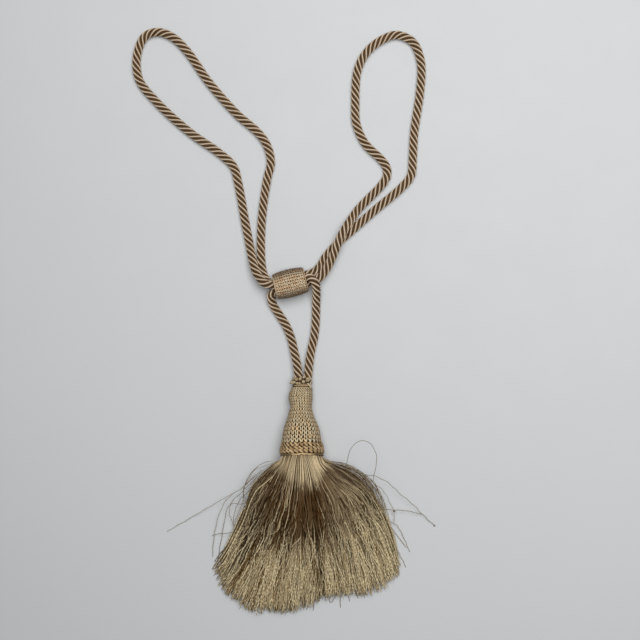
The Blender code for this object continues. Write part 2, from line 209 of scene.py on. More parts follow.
def smooth_table(keys, values, at):
    """Values at `at` on smooth lines through a table's rows, for any array of places."""
    keys, values = np.asarray(keys, float), np.asarray(values, float)
    at = np.clip(np.asarray(at, float), keys[0], keys[-1])
    rows = np.arange(len(keys))
    lo, hi = np.maximum(rows - 1, 0), np.minimum(rows + 1, len(keys) - 1)
    more = (1,) * (values.ndim - 1)
    slopes = (values[hi] - values[lo]) / (keys[hi] - keys[lo]).reshape(-1, *more)
    i = np.clip(np.searchsorted(keys, at, side="right") - 1, 0, len(keys) - 2)
    span = (keys[i + 1] - keys[i]).reshape(*at.shape, *more)
    t = (at.reshape(*at.shape, *more) - keys[i].reshape(*at.shape, *more)) / span
    return (
        (2 * t**3 - 3 * t**2 + 1) * values[i]
        + (t**3 - 2 * t**2 + t) * slopes[i] * span
        + (3 * t**2 - 2 * t**3) * values[i + 1]
        + (t**3 - t**2) * slopes[i + 1] * span
    )


def smooth_line(route, steps=24):
    """Centripetal Catmull-Rom curve through a route's points, closely sampled."""
    route = np.asarray(route, float)
    padded = np.vstack([2 * route[0] - route[1], route, 2 * route[-1] - route[-2]])
    share = np.arange(1, steps + 1)[:, None] / steps
    line = [route[:1]]
    for p0, p1, p2, p3 in zip(padded, padded[1:], padded[2:], padded[3:]):
        t0 = 0.0
        t1 = t0 + math.sqrt(np.linalg.norm(p1 - p0))
        t2 = t1 + math.sqrt(np.linalg.norm(p2 - p1))
        t3 = t2 + math.sqrt(np.linalg.norm(p3 - p2))
        t = t1 + (t2 - t1) * share
        a1 = p0 * ((t1 - t) / (t1 - t0)) + p1 * ((t - t0) / (t1 - t0))
        a2 = p1 * ((t2 - t) / (t2 - t1)) + p2 * ((t - t1) / (t2 - t1))
        a3 = p2 * ((t3 - t) / (t3 - t2)) + p3 * ((t - t2) / (t3 - t2))
        b1 = a1 * ((t2 - t) / (t2 - t0)) + a2 * ((t - t0) / (t2 - t0))
        b2 = a2 * ((t3 - t) / (t3 - t1)) + a3 * ((t - t1) / (t3 - t1))
        line.append(b1 * ((t2 - t) / (t2 - t1)) + b2 * ((t - t1) / (t2 - t1)))
    return np.vstack(line)


def lengths_along(line):
    return np.concatenate([[0.0], np.cumsum(np.linalg.norm(np.diff(line, axis=0), axis=1))])


def evenly(line, count):
    """`count` points at equal distances along a line."""
    walked = lengths_along(line)
    wanted = np.linspace(0.0, walked[-1], count)
    return np.stack([np.interp(wanted, walked, line[:, k]) for k in range(3)], axis=1)


# ---- meshes -------------------------------------------------------------------------


def carried_frames(lines, closed=False):
    """Tangent and two cross directions at each point of many lines, carried along without twist."""
    tangents = np.empty_like(lines)
    tangents[:, 1:-1] = lines[:, 2:] - lines[:, :-2]
    if closed:
        tangents[:, 0] = lines[:, 1] - lines[:, -1]
        tangents[:, -1] = lines[:, 0] - lines[:, -2]
    else:
        tangents[:, 0] = lines[:, 1] - lines[:, 0]
        tangents[:, -1] = lines[:, -1] - lines[:, -2]
    tangents = unit(tangents)
    start = np.where(
        np.abs(tangents[:, 0, 2:3]) > 0.9, np.array([1.0, 0, 0]), np.array([0, 0, 1.0])
    )
    normals = np.empty_like(lines)
    last = start
    for k in range(lines.shape[1]):
        last = unit(last - (last * tangents[:, k]).sum(-1, keepdims=True) * tangents[:, k])
        normals[:, k] = last
    if closed:
        # the frame comes back turned by some angle, which is taken out evenly
        again = unit(last - (last * tangents[:, 0]).sum(-1, keepdims=True) * tangents[:, 0])
        side = np.cross(tangents[:, 0], normals[:, 0])
        turn = np.arctan2((again * side).sum(-1), (again * normals[:, 0]).sum(-1))
        share = np.arange(lines.shape[1]) / lines.shape[1]
        angle = -turn[:, None] * share[None, :]
        across = np.cross(tangents, normals)
        normals = np.cos(angle)[..., None] * normals + np.sin(angle)[..., None] * across
    return tangents, normals, np.cross(tangents, normals)


def tubes(lines, radius, sides=6, closed=False, flat=1.0, spin=0.0, **values):
    """Closed tubes round many lines at once, as one part of a mesh.

    radius is a number or one per point; values are attributes, one number a line
    or one a point. The part's map has the way round and the millimetres along.
    """
    lines = np.asarray(lines, float)
    many, points, _ = lines.shape
    radius = np.broadcast_to(np.asarray(radius, float), (many, points))
    _, normals, across = carried_frames(lines, closed)
    angle = 2 * np.pi * np.arange(sides) / sides + spin
    ring = (
        np.cos(angle)[:, None] * normals[:, :, None, :]
        + flat * np.sin(angle)[:, None] * across[:, :, None, :]
    )
    spots = lines[:, :, None, :] + radius[:, :, None, None] * ring
    walked = np.concatenate(
        [np.zeros((many, 1)), np.cumsum(np.linalg.norm(np.diff(lines, axis=1), axis=2), axis=1)],
        axis=1,
    )
    i = np.arange(many)[:, None, None]
    j = np.arange(points if closed else points - 1)[None, :, None]
    m = np.arange(sides)[None, None, :]
    nj, nm = (j + 1) % points, (m + 1) % sides
    at = lambda a, b, c: (a * points + b) * sides + c
    quads = np.stack(
        [x + 0 * (i + j + m) for x in (at(i, j, m), at(i, j, nm), at(i, nj, nm), at(i, nj, m))],
        axis=-1,
    ).reshape(-1, 4)
    u0, u1 = np.broadcast_arrays(m / sides, (m + 1) / sides)
    step = np.linalg.norm(lines[:, 0] - lines[:, -1], axis=-1)
    ends = np.concatenate([walked, (walked[:, -1] + step)[:, None]], axis=1)
    v0, v1 = ends[i, j], ends[i, j + 1]
    whole = np.zeros(np.broadcast_shapes(v0.shape, u0.shape))
    quad_uv = np.stack(
        [
            np.stack([u + whole, v + whole], axis=-1)
            for u, v in ((u0, v0), (u1, v0), (u1, v1), (u0, v1))
        ],
        axis=-2,
    ).reshape(-1, 4, 2)
    faces, maps = [quads], [quad_uv]
    strip = (np.broadcast_to(i, whole.shape).reshape(-1), np.broadcast_to(j, whole.shape).reshape(-1))
    cap_lines = []
    if not closed:
        first = at(np.arange(many)[:, None], 0, np.arange(sides)[None, ::-1])
        last = at(np.arange(many)[:, None], points - 1, np.arange(sides)[None, :])
        for cap, end in ((first, 0), (last, points - 1)):
            faces.append(cap)
            uv = np.zeros((many, sides, 2))
            uv[:, :, 0] = np.linspace(0, 0.2, sides)
            uv[:, :, 1] = walked[:, end][:, None]
            maps.append(uv)
            cap_lines.append(np.full(many, end))
    part = {
        "points": spots.reshape(-1, 3),
        "faces": faces,
        "map": maps,
        "values": {},
        "many": many,
        "count": points,
        "strip": strip,
        "sides": sides,
        "closed": closed,
    }
    for name, value in values.items():
        value = np.asarray(value, float)
        if value.ndim == 1:
            value = value[:, None]
        part["values"][name] = np.repeat(
            np.broadcast_to(value, (many, points)).reshape(-1), sides
        )
    return part


def strip_map(parts):
    """For tubes: a map that holds each tube as a strip of its own, none on another."""
    total = sum(p["many"] for p in parts)
    longest = max(p["count"] for p in parts)
    columns = max(1, math.ceil(math.sqrt(total * longest / 6.0)))
    columns = min(columns, total)
    rows = math.ceil(total / columns)
    found, before = [], 0
    for p in parts:
        i, j = p["strip"]
        cell = before + i
        x0, y0 = (cell % columns) / columns, (cell // columns) / rows
        m = np.tile(np.arange(p["sides"]), len(i) // p["sides"])
        span = p["count"] if p["closed"] else p["count"] - 1
        a0 = (m + 0.0) / p["sides"] * 0.9 + 0.05
        a1 = (m + 1.0) / p["sides"] * 0.9 + 0.05
        b0, b1 = j / span * 0.96 + 0.02, (j + 1) / span * 0.96 + 0.02
        quad = np.stack(
            [
                np.stack([x0 + a / columns, y0 + b / rows], axis=-1)
                for a, b in ((a0, b0), (a1, b0), (a1, b1), (a0, b1))
            ],
            axis=1,
        )
        found.append(quad)
        if not p["closed"]:
            cells = before + np.arange(p["many"])
            cx, cy = (cells % columns) / columns, (cells // columns) / rows
            turn = np.linspace(0, 2 * np.pi, p["sides"], endpoint=False)
            for low in (0.004, 0.984):
                uv = np.zeros((p["many"], p["sides"], 2))
                uv[:, :, 0] = cx[:, None] + (0.5 + 0.3 * np.cos(turn))[None] / columns
                uv[:, :, 1] = cy[:, None] + (low + 0.006 * (1 + np.sin(turn)))[None] / rows
                found.append(uv)
        before += p["many"]
    return found


def grid_part(points, round_way=False, capped=False, flip=False, **values):
    """A grid of points (rows, columns, 3) as one part; round_way joins the last column to the first."""
    points = np.asarray(points, float)
    rows, columns, _ = points.shape
    j = np.arange(rows - 1)[:, None]
    m = np.arange(columns if round_way else columns - 1)[None, :]
    nm = (m + 1) % columns
    zero = 0 * (j + m)
    quads = np.stack(
        [zero + j * columns + m, zero + j * columns + nm, zero + (j + 1) * columns + nm, zero + (j + 1) * columns + m],
        axis=-1,
    ).reshape(-1, 4)
    uv = np.stack(
        [
            np.stack([zero + m / m.size, zero + j / (rows - 1)], axis=-1),
            np.stack([zero + (m + 1) / m.size, zero + j / (rows - 1)], axis=-1),
            np.stack([zero + (m + 1) / m.size, zero + (j + 1) / (rows - 1)], axis=-1),
            np.stack([zero + m / m.size, zero + (j + 1) / (rows - 1)], axis=-1),
        ],
        axis=-2,
    ).reshape(-1, 4, 2)
    faces, maps = [quads], [uv]
    if capped:
        for cap in (np.arange(columns)[::-1], (rows - 1) * columns + np.arange(columns)):
            faces.append(cap[None, :])
            turn = np.linspace(0, 2 * np.pi, columns, endpoint=False)
            maps.append(np.stack([0.5 + 0.3 * np.cos(turn), 0.5 + 0.3 * np.sin(turn)], axis=-1)[None])
    if flip:
        faces = [f[:, ::-1] for f in faces]
        maps = [x[:, ::-1] for x in maps]
    part = {"points": points.reshape(-1, 3), "faces": faces, "map": maps, "values": {}}
    for name, value in values.items():
        part["values"][name] = np.broadcast_to(np.asarray(value, float), (rows, columns)).reshape(-1)
    return part


def piece(name, parts, materials, material_of=None, bake=None):
    """A mesh object from its parts, which may each take their own material."""
    mesh = bpy.data.meshes.new(name)
    points = np.concatenate([p["points"] for p in parts]) * MM
    loops, totals, maps, mats, before = [], [], [], [], 0
    for n, p in enumerate(parts):
        for faces, uv in zip(p["faces"], p["map"]):
            loops.append((faces + before).reshape(-1))
            totals.append(np.full(len(faces), faces.shape[1]))
            maps.append(uv.reshape(-1, 2))
            mats.append(np.full(len(faces), material_of[n] if material_of else 0))
        before += len(p["points"])
    loops, totals = np.concatenate(loops), np.concatenate(totals)
    mesh.vertices.add(len(points))
    mesh.vertices.foreach_set("co", points.astype(np.float32).reshape(-1))
    mesh.loops.add(len(loops))
    mesh.loops.foreach_set("vertex_index", loops.astype(np.int32))
    mesh.polygons.add(len(totals))
    starts = np.concatenate([[0], np.cumsum(totals)[:-1]])
    mesh.polygons.foreach_set("loop_start", starts.astype(np.int32))
    mesh.polygons.foreach_set("material_index", np.concatenate(mats).astype(np.int32))
    for value in sorted({k for p in parts for k in p["values"]}):
        found = np.concatenate(
            [p["values"].get(value, np.zeros(len(p["points"]))) for p in parts]
        )
        layer = mesh.attributes.new(value, "FLOAT", "POINT")
        layer.data.foreach_set("value", found.astype(np.float32))
    layer = mesh.uv_layers.new(name="Threads")
    layer.data.foreach_set("uv", np.concatenate(maps).astype(np.float32).reshape(-1))
    if bake is not None:
        layer = mesh.uv_layers.new(name="OFBake")
        flat = np.concatenate([x.reshape(-1, 2) for x in bake])
        layer.data.foreach_set("uv", flat.astype(np.float32).reshape(-1))
    mesh.update(calc_edges=True)
    mesh.shade_smooth()
    for material in materials:
        mesh.materials.append(material)
    obj = bpy.data.objects.new(name, mesh)
    bpy.context.scene.collection.objects.link(obj)
    return obj


# ---- materials ----------------------------------------------------------------------


class Nodes:
    """A material with short ways to add the nodes used here."""

    def __init__(self, name):
        self.material = bpy.data.materials.new(name)
        self.material.use_nodes = True
        self.tree = self.material.node_tree
        self.shader = self.tree.nodes["Principled BSDF"]

    def put(self, socket, value):
        if isinstance(value, bpy.types.NodeSocket):
            self.tree.links.new(value, socket)
        else:
            socket.default_value = value

    def node(self, kind, **settings):
        found = self.tree.nodes.new(kind)
        for key, value in settings.items():
            setattr(found, key, value)
        return found

    def math(self, operation, a, b=0.0, clamp=False):
        found = self.node("ShaderNodeMath", operation=operation, use_clamp=clamp)
        self.put(found.inputs[0], a)
        self.put(found.inputs[1], b)
        return found.outputs[0]

    def value(self, name):
        return self.node("ShaderNodeAttribute", attribute_name=name).outputs["Fac"]

    def threads(self):
        """The way round a thread and the millimetres along it."""
        uv = self.node("ShaderNodeUVMap", uv_map="Threads")
        parts = self.node("ShaderNodeSeparateXYZ")
        self.put(parts.inputs[0], uv.outputs[0])
        return parts.outputs[0], parts.outputs[1]

    def place(self):
        return self.node("ShaderNodeTexCoord").outputs["Object"]

    def noise(self, scale, detail=2.0, roughness=0.55, vector=None):
        found = self.node("ShaderNodeTexNoise")
        self.put(found.inputs["Vector"], vector if vector is not None else self.place())
        self.put(found.inputs["Scale"], scale)
        self.put(found.inputs["Detail"], detail)
        self.put(found.inputs["Roughness"], roughness)
        return found.outputs[0]

    def mix(self, factor, a, b, blend="MIX"):
        found = self.node("ShaderNodeMix", data_type="RGBA", blend_type=blend)
        self.put(found.inputs[0], factor)
        self.put(found.inputs[6], a)
        self.put(found.inputs[7], b)
        return found.outputs[2]

    def scaled(self, value, low, high, to_low=0.0, to_high=1.0):
        found = self.node("ShaderNodeMapRange", clamp=True)
        for socket, number in zip(found.inputs, (value, low, high, to_low, to_high)):
            self.put(socket, number)
        return found.outputs[0]

    def lines(self, around, along, strands, pitch, bend=0.0):
        """Ply lines wound round a thread: `strands` of them, once round in `pitch` mm."""
        turn = self.math("ADD", self.math("MULTIPLY", around, float(strands)), self.math("DIVIDE", along, pitch))
        if not isinstance(bend, float) or bend:
            turn = self.math("ADD", turn, bend)
        wave = self.math("SINE", self.math("MULTIPLY", turn, 2 * math.pi))
        return self.math("ADD", self.math("MULTIPLY", wave, 0.5), 0.5)

    def bump(self, height, strength, distance):
        found = self.node("ShaderNodeBump")
        self.put(found.inputs["Strength"], strength)
        self.put(found.inputs["Distance"], distance)
        self.put(found.inputs["Height"], height)
        self.put(self.shader.inputs["Normal"], found.outputs[0])

    def done(self, colour, roughness, **sockets):
        self.put(self.shader.inputs["Base Color"], colour)
        self.put(self.shader.inputs["Roughness"], roughness)
        for name, value in sockets.items():
            self.shader.inputs[name.replace("_", " ")].default_value = value
        return self.material


def rgb(red, green, blue):
    """An sRGB colour, 0 to 255, as Blender's linear one."""
    linear = [
        c / 12.92 if c <= 0.04045 else ((c + 0.055) / 1.055) ** 2.4
        for c in (red / 255, green / 255, blue / 255)
    ]
    return (*linear, 1.0)


def rope_material():
    n = Nodes("twisted_rope")
    around, along = n.threads()
    light, crease = n.value("light"), n.value("crease")
    patch = n.noise(55.0, 3.0)
    fibre = n.lines(around, along, 60, 7.5, n.math("MULTIPLY", n.noise(900.0), 0.8))
    dark = n.mix(patch, rgb(33, 18, 3), rgb(84, 56, 22))
    dark = n.mix(n.math("MULTIPLY", fibre, 0.42), dark, rgb(136, 97, 54))
    cord_ply = n.lines(around, along, 42, 1.9)
    pale = n.mix(n.noise(90.0, 3.0), rgb(216, 193, 164), rgb(235, 217, 192))
    pale = n.mix(n.math("MULTIPLY", n.math("SUBTRACT", 1.0, cord_ply), 0.25), pale, rgb(168, 136, 106))
    colour = n.mix(light, dark, pale)
    # painted shade: darker in the grooves between the strands
    colour = n.mix(n.math("MULTIPLY", crease, 0.8), colour, rgb(26, 13, 6))
    n.bump(n.mix(light, fibre, cord_ply), 0.5, 0.00025)
    rough = n.scaled(n.math("ADD", n.math("MULTIPLY", fibre, 0.5), n.noise(300.0)), 0.2, 1.2, 0.38, 0.55)
    return n.done(colour, rough, Sheen_Weight=0.05, Sheen_Roughness=0.35, Sheen_Tint=rgb(214, 184, 144), Specular_IOR_Level=0.25)


def stitch_material(name, light, middle, dark, ply=1.3):
    """Covering thread of two plies: each stitch has a tone of its own, and its under value paints shade on it, at its
    ends underneath and on the flanks.
    """
    n = Nodes(name)
    around, along = n.threads()
    tone, under = n.value("tone"), n.value("under")
    plies = n.lines(around, along, 2, ply)
    colour = n.mix(tone, middle, light)
    colour = n.mix(n.math("MULTIPLY", n.noise(70.0, 3.0), 0.3), colour, middle)
    colour = n.mix(n.math("MULTIPLY", n.math("SUBTRACT", 1.0, plies), 0.28), colour, dark)
    # painted shade, read from the under value
    colour = n.mix(under, colour, dark)
    n.bump(plies, 0.6, 0.0003)
    rough = n.scaled(n.noise(500.0), 0.3, 0.7, 0.3, 0.44)
    return n.done(colour, rough, Specular_IOR_Level=0.3)


def mould_material(name, low, high):
    """The covered mould that shows between the stitches, painted very dark as the shade in the holes."""
    n = Nodes(name)
    colour = n.mix(n.noise(800.0, 4.0), low, high)
    n.bump(n.noise(1500.0, 4.0), 0.5, 0.0003)
    return n.done(colour, n.scaled(n.noise(400.0), 0.3, 0.7, 0.6, 0.85), Specular_IOR_Level=0.08)


def fringe_material(name, stray=False):
    """Crimped shiny thread: each has its own tone, and runs from pale at the rim through a brown band of painted shade
    to pale.
    """
    n = Nodes(name)
    around, along = n.threads()
    tone, share, deep = n.value("tone"), n.value("share"), n.value("deep")
    lower = n.scaled(share, 0.3, 0.62)
    dull = n.mix(lower, rgb(98, 70, 34), rgb(152, 118, 69))
    pale = n.mix(tone, dull, n.mix(lower, rgb(246, 226, 186), rgb(255, 239, 197)))
    brown = n.mix(tone, rgb(10, 5, 1), rgb(92, 61, 26))
    # the brown value paints the band of shade
    colour = n.mix(n.value("brown"), pale, brown)
    if stray:
        colour = n.mix(n.value("grey"), colour, rgb(128, 122, 108))
    # painted shade along its crimp: it darkens once in a few millimetres, at its own places on each thread, leaving
    # painted glints between
    turn = n.math("ADD", n.math("DIVIDE", along, 3.7), n.math("MULTIPLY", tone, 61.0))
    turn = n.math("ADD", turn, n.math("MULTIPLY", n.noise(240.0), 1.6))
    crimp = n.math("ADD", n.math("MULTIPLY", n.math("SINE", n.math("MULTIPLY", turn, 2 * math.pi)), 0.5), 0.5)
    shade = n.math("MULTIPLY", n.math("MULTIPLY", crimp, n.scaled(share, 0.15, 0.6, 0.1, 0.46)), 1.0)
    colour = n.mix(shade, colour, rgb(90, 63, 27))
    # painted shade on threads that lie deep in the pile
    colour = n.mix(deep, colour, rgb(46, 25, 4))
    plies = n.lines(around, along, 1, 1.6)
    n.bump(plies, 0.35, 0.00015)
    rough = n.scaled(n.math("ADD", n.math("MULTIPLY", share, 0.2), n.noise(350.0)), 0.3, 0.9, 0.32, 0.48)
    return n.done(colour, rough, Specular_IOR_Level=0.06)


def table_material():
    n = Nodes("pale_table")
    colour = n.mix(n.noise(3.0, 3.0), rgb(213, 216, 219), rgb(218, 221, 224))
    n.bump(n.noise(160.0, 4.0), 0.05, 0.0004)
    return n.done(colour, n.scaled(n.noise(25.0), 0.3, 0.7, 0.6, 0.7))


# ---- camera and light -----------------------------------------------------------------


def make_camera():
    data = bpy.data.cameras.new("camera")
    data.lens, data.sensor_width = CAMERA_LENS, CAMERA_SENSOR
    data.clip_start, data.clip_end = 0.05, 20.0
    camera = bpy.data.objects.new("camera", data)
    camera.location = [c * MM for c in CAMERA_AT]
    bpy.context.scene.collection.objects.link(camera)
    bpy.context.scene.camera = camera


def area_light(name, place, aim, size, power, colour):
    data = bpy.data.lights.new(name, "AREA")
    data.shape, data.size, data.size_y = "RECTANGLE", size[0], size[1]
    data.energy, data.color = power, colour
    light = bpy.data.objects.new(name, data)
    light.location = place
    away = Vector(place) - Vector(aim)
    light.rotation_euler = away.to_track_quat("Z", "Y").to_euler()
    bpy.context.scene.collection.objects.link(light)
    return light


def make_room():
    scene = bpy.context.scene
    world = bpy.data.worlds.new("studio")
    world.use_nodes = True
    back = world.node_tree.nodes["Background"]
    back.inputs["Color"].default_value = (1.0, 0.98, 0.96, 1.0)
    back.inputs["Strength"].default_value = 0.15
    scene.world = world
    area_light("softbox", (0.25, 0.58, 1.48), (0.80, 0.70, 0.0), (1.25, 1.25), 23.1, (1.0, 0.99, 0.98))
    scene.view_settings.view_transform = "Standard"
    scene.view_settings.look = "None"
    scene.view_settings.exposure = 0.0
    mesh = bpy.data.meshes.new("table")
    mesh.from_pydata([(-2.5, -2.5, 0), (2.5, -2.5, 0), (2.5, 2.5, 0), (-2.5, 2.5, 0)], [], [(0, 1, 2, 3)])
    mesh.materials.append(table_material())
    table = bpy.data.objects.new("table", mesh)
    scene.collection.objects.link(table)


# ---- rope -----------------------------------------------------------------------------


def in_bead(along, across, up):
    turn = math.radians(BEAD_TURN_DEG)
    return (
        PASSES_CENTRE[0] + along * math.cos(turn) - across * math.sin(turn),
        PASSES_CENTRE[1] + along * math.sin(turn) + across * math.cos(turn),
        PASSES_CENTRE[2] + up,
    )


LIE = ROPE_REST_Z
LEFT_STRAND = (
    # x, y, z
    (-2.8, 123.2, 8.2),
    (-4.3, 134.8, 6.3),
    (-6.8, 146.2, 4.6),
    (-9.6, 157.7, 3.7),
    (-13.4, 167.0, LIE),
    (-19.3, 176.5, LIE),
    (-24.4, 184.6, 4.2),
    (-26.0, 189.5, 6.5),
    (-25.8, 193.5, 8.7),
)
FIRST_PASS = (in_bead(-13.0, -4.2, -1.1), in_bead(0.0, -4.2, -1.3), in_bead(12.0, -4.2, -1.3))
RIGHT_LOOP = (
    # x, y, z: crosses over its own return on the way up
    (9.3, 204.9, 9.4),
    (15.6, 208.6, 8.9),
    (20.6, 215.1, 8.9),
    (26.0, 225.2, 9.2),
    (30.2, 236.0, 10.9),
    (33.8, 244.4, 11.4),
    (38.4, 252.3, 9.3),
    (43.4, 260.0, 5.0),
    (48.4, 267.0, LIE),
    (68.6, 288.1, LIE),
    (72.9, 295.4, LIE),
    (72.6, 302.7, LIE),
    (67.5, 310.0, LIE),
    (53.9, 323.7, LIE),
    (46.6, 340.6, LIE),
    (45.8, 355.0, LIE),
    (48.0, 387.0, LIE),
    (56.8, 403.0, LIE),
    (72.0, 414.0, LIE),
    (82.5, 416.2, LIE),
    (95.5, 409.8, LIE),
    (102.0, 393.0, LIE),
    (101.3, 368.0, LIE),
    (96.3, 332.8, LIE),
    (95.0, 310.0, LIE),
    (93.6, 296.0, LIE),
    (85.3, 285.5, LIE),
    (63.5, 267.0, LIE),
    (43.6, 249.4, LIE),
    (31.0, 238.2, LIE),
    (19.8, 225.3, LIE),
    (15.8, 218.3, 4.2),
    (10.1, 212.9, 6.6),
)
SECOND_PASS = (in_bead(12.5, 3.1, -2.9), in_bead(0.0, 3.0, -2.9), in_bead(-14.0, 3.0, -2.9))
LEFT_LOOP = (
    # x, y, z: its return lies on top where the two come together
    (-29.4, 205.4, 7.2),
    (-32.9, 211.4, 4.7),
    (-34.4, 218.5, LIE),
    (-35.2, 236.0, LIE),
    (-34.0, 262.0, LIE),
    (-29.6, 293.5, LIE),
    (-26.6, 307.0, LIE),
    (-29.8, 321.5, LIE),
    (-37.5, 332.5, LIE),
    (-55.0, 347.9, LIE),
    (-79.1, 375.0, LIE),
    (-98.9, 403.0, LIE),
    (-111.0, 414.5, LIE),
    (-123.5, 418.8, LIE),
    (-134.5, 415.0, LIE),
    (-141.2, 399.5, LIE),
    (-139.7, 378.5, LIE),
    (-124.7, 359.1, LIE),
    (-95.9, 332.8, LIE),
    (-70.0, 314.5, LIE),
    (-58.7, 303.5, LIE),
    (-54.6, 289.5, LIE),
    (-48.6, 256.0, LIE),
    (-44.8, 236.5, 3.9),
    (-42.6, 225.5, 6.8),
    (-40.0, 215.6, 10.0),
    (-35.6, 207.4, 13.2),
    (-30.5, 202.8, 15.2),
)
THIRD_PASS = (in_bead(-13.0, 1.0, 4.1), in_bead(0.0, 0.8, 4.1), in_bead(12.0, 0.6, 4.1))
RIGHT_STRAND = (
    # x, y, z: bends down over the right loop
    (5.6, 207.9, 16.7),
    (9.6, 206.0, 17.1),
    (12.0, 202.2, 15.7),
    (12.6, 197.6, 11.8),
    (12.5, 191.6, 7.6),
    (12.3, 185.0, 4.5),
    (12.1, 177.0, LIE),
    (11.6, 166.5, LIE),
    (10.4, 157.0, 3.7),
    (8.0, 146.2, 4.6),
    (6.3, 134.8, 6.3),
    (5.2, 123.2, 8.2),
)


def make_rope():
    line = smooth_line(
        LEFT_STRAND + FIRST_PASS + RIGHT_LOOP + SECOND_PASS + LEFT_LOOP + THIRD_PASS + RIGHT_STRAND
    )
    line[:, 2] = np.maximum(line[:, 2], ROPE_REST_Z)
    free_length = lengths_along(line)[-1]
    line = np.vstack(
        [
            line[:1] + unit(line[:1] - line[1:2]) * ROPE_TUCK,
            line,
            line[-1:] + unit(line[-1:] - line[-2:-1]) * ROPE_TUCK,
        ]
    )
    rings = int(lengths_along(line)[-1] / ROPE_STEP) + 1
    line = evenly(line, rings)
    walked = lengths_along(line)
    _, normals, across = carried_frames(line[None])
    section = np.array(ROPE_SECTION)
    angle = np.radians(
        np.concatenate([section[:, 0] + 360 / ROPE_STRANDS * k for k in range(ROPE_STRANDS)])
    )
    radius = np.tile(section[:, 1], ROPE_STRANDS)
    light = np.tile(section[:, 2], ROPE_STRANDS)
    # where the section dips into a groove, its colour takes painted shade
    crease = (radius < 2.9).astype(float)
    around = angle[None, :] - 2 * np.pi * walked[:, None] / ROPE_LEAD
    spots = line[:, None, :] + radius[None, :, None] * (
        np.cos(around)[..., None] * normals[0][:, None, :]
        + np.sin(around)[..., None] * across[0][:, None, :]
    )
    spots[:, :, 2] = np.maximum(spots[:, :, 2], 0.05)
    part = grid_part(spots, round_way=True, capped=True, light=light[None, :], crease=crease[None, :])
    columns = len(angle)
    # its map: once round against the millimetres along
    j = np.repeat(np.arange(rings - 1), columns)
    m = np.tile(np.arange(columns), rings - 1)
    corners = [(m, j), (m + 1, j), (m + 1, j + 1), (m, j + 1)]
    part["map"][0] = np.stack(
        [np.stack([a / columns, walked[b]], axis=-1) for a, b in corners], axis=1
    )
    strips = 16
    per = math.ceil((rings - 1) / strips)
    strip = j // per
    bake = [
        np.stack(
            [
                np.stack(
                    [(strip + 0.03 + 0.94 * a / columns) / strips, 0.02 + 0.96 * (b - strip * per) / per],
                    axis=-1,
                )
                for a, b in corners
            ],
            axis=1,
        )
    ]
    turn = np.linspace(0, 2 * np.pi, columns, endpoint=False)
    for k in range(2):
        bake.append(
            np.stack([(k + 0.5 + 0.3 * np.cos(turn)) / strips, 0.009 + 0.008 * np.sin(turn)], axis=-1)[None]
        )
    rope = piece("twisted_rope", [part], [rope_material()], bake=bake)
    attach(rope, "root")
    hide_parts("tieback_cord")
    return rope, line, free_length


# ---- stitched covers ------------------------------------------------------------------


def stitches(surface, columns, row_edges, sink, lift, thick, slant, seed, wide=0.37, narrow=0.13, shade=0.3, crown=0.0, spread=0.25):
    """Stacked V stitches all over a turned surface, which stand in ribs along it with a dark hole in each row between.

    surface(turn, along, out) gives points for angles in turns, places along it
    and heights above it. row_edges are the rows' places along; sink, lift, thick
    and slant are arrays with a value for each row: slant from 0, both legs alike,
    to 1, where the leg that runs down to the right lies thick on top. wide and
    narrow are half a slanting V's width at its two ends, in columns, and shade
    is how much painted shade darkens its flanks. crown is where its top lies, in turns, and spread
    how much the tones of the stitches differ.
    """
    rng = np.random.default_rng(seed)
    rows = len(row_edges) - 1
    s = np.linspace(0.0, 1.0, 7)
    row, column = np.meshgrid(np.arange(rows), np.arange(columns), indexing="ij")
    row, column = row.reshape(-1), column.reshape(-1)
    legs, radii, tones, painted_shades = [], [], [], []
    for side in (-1.0, 1.0):
        on_top = slant[row] * (-side)
        wobble = rng.normal(0.0, 0.035, (len(row), 2))
        slanting = wide - (wide - narrow) * s ** 0.85
        # an upright leg starts against its neighbour and bends straight into a rib, which leaves a hole beside it
        upright = 0.15 + 0.34 * (1 - s) ** 3.6
        c = column[:, None] + wobble[:, :1]
        c = c + side * (upright + slant[row][:, None] ** 0.5 * (slanting - upright))
        # a slanting leg starts further out and ends past the middle
        c = c + on_top[:, None].clip(0, 1) * (0.62 * s[None, :] - 0.2)
        r = row[:, None] + 0.66 - 1.16 * s[None, :] + wobble[:, 1:]
        places = np.arange(rows + 1)
        along = np.interp(r, places, row_edges)
        below, above = r < 0, r > rows
        along = np.where(below, row_edges[0] + r * (row_edges[1] - row_edges[0]), along)
        along = np.where(above, row_edges[-1] + (r - rows) * (row_edges[-1] - row_edges[-2]), along)
        arch = np.sin(np.pi * np.clip(0.08 + 0.84 * s, 0, 1)) ** 0.45
        arch = arch + 0.5 * (1 - slant[row][:, None] ** 0.5) * (1 - arch)
        rise = np.where(on_top < 0, 1 + 0.95 * on_top, 1 + 0.45 * on_top)
        out = -sink[row][:, None] + (lift[row] * rise)[:, None] * arch
        legs.append(surface(c / columns, along, out))
        body = 0.72 + 0.28 * np.sin(np.pi * s) ** 0.5
        radii.append((thick[row] * (1 + 0.26 * on_top) * (1 + rng.normal(0, 0.06, len(row))))[:, None] * body)
        tones.append(np.clip(rng.normal(0.6, spread, len(row)), 0, 1))
        # painted shade: dark at its ends, where they go under, and dimmer on the flanks of what it covers
        flank = np.abs(np.sin(2 * np.pi * (column / columns - crown)))
        dark = 0.75 * np.abs(2 * s - 1.0)[None, :] ** 7 + shade * smoothstep((flank - 0.3) / 0.7)[:, None]
        painted_shades.append(np.minimum(dark, 1.0))
    return tubes(
        np.concatenate(legs),
        np.concatenate(radii),
        sides=5,
        tone=np.concatenate(tones),
        under=np.concatenate(painted_shades),
    )


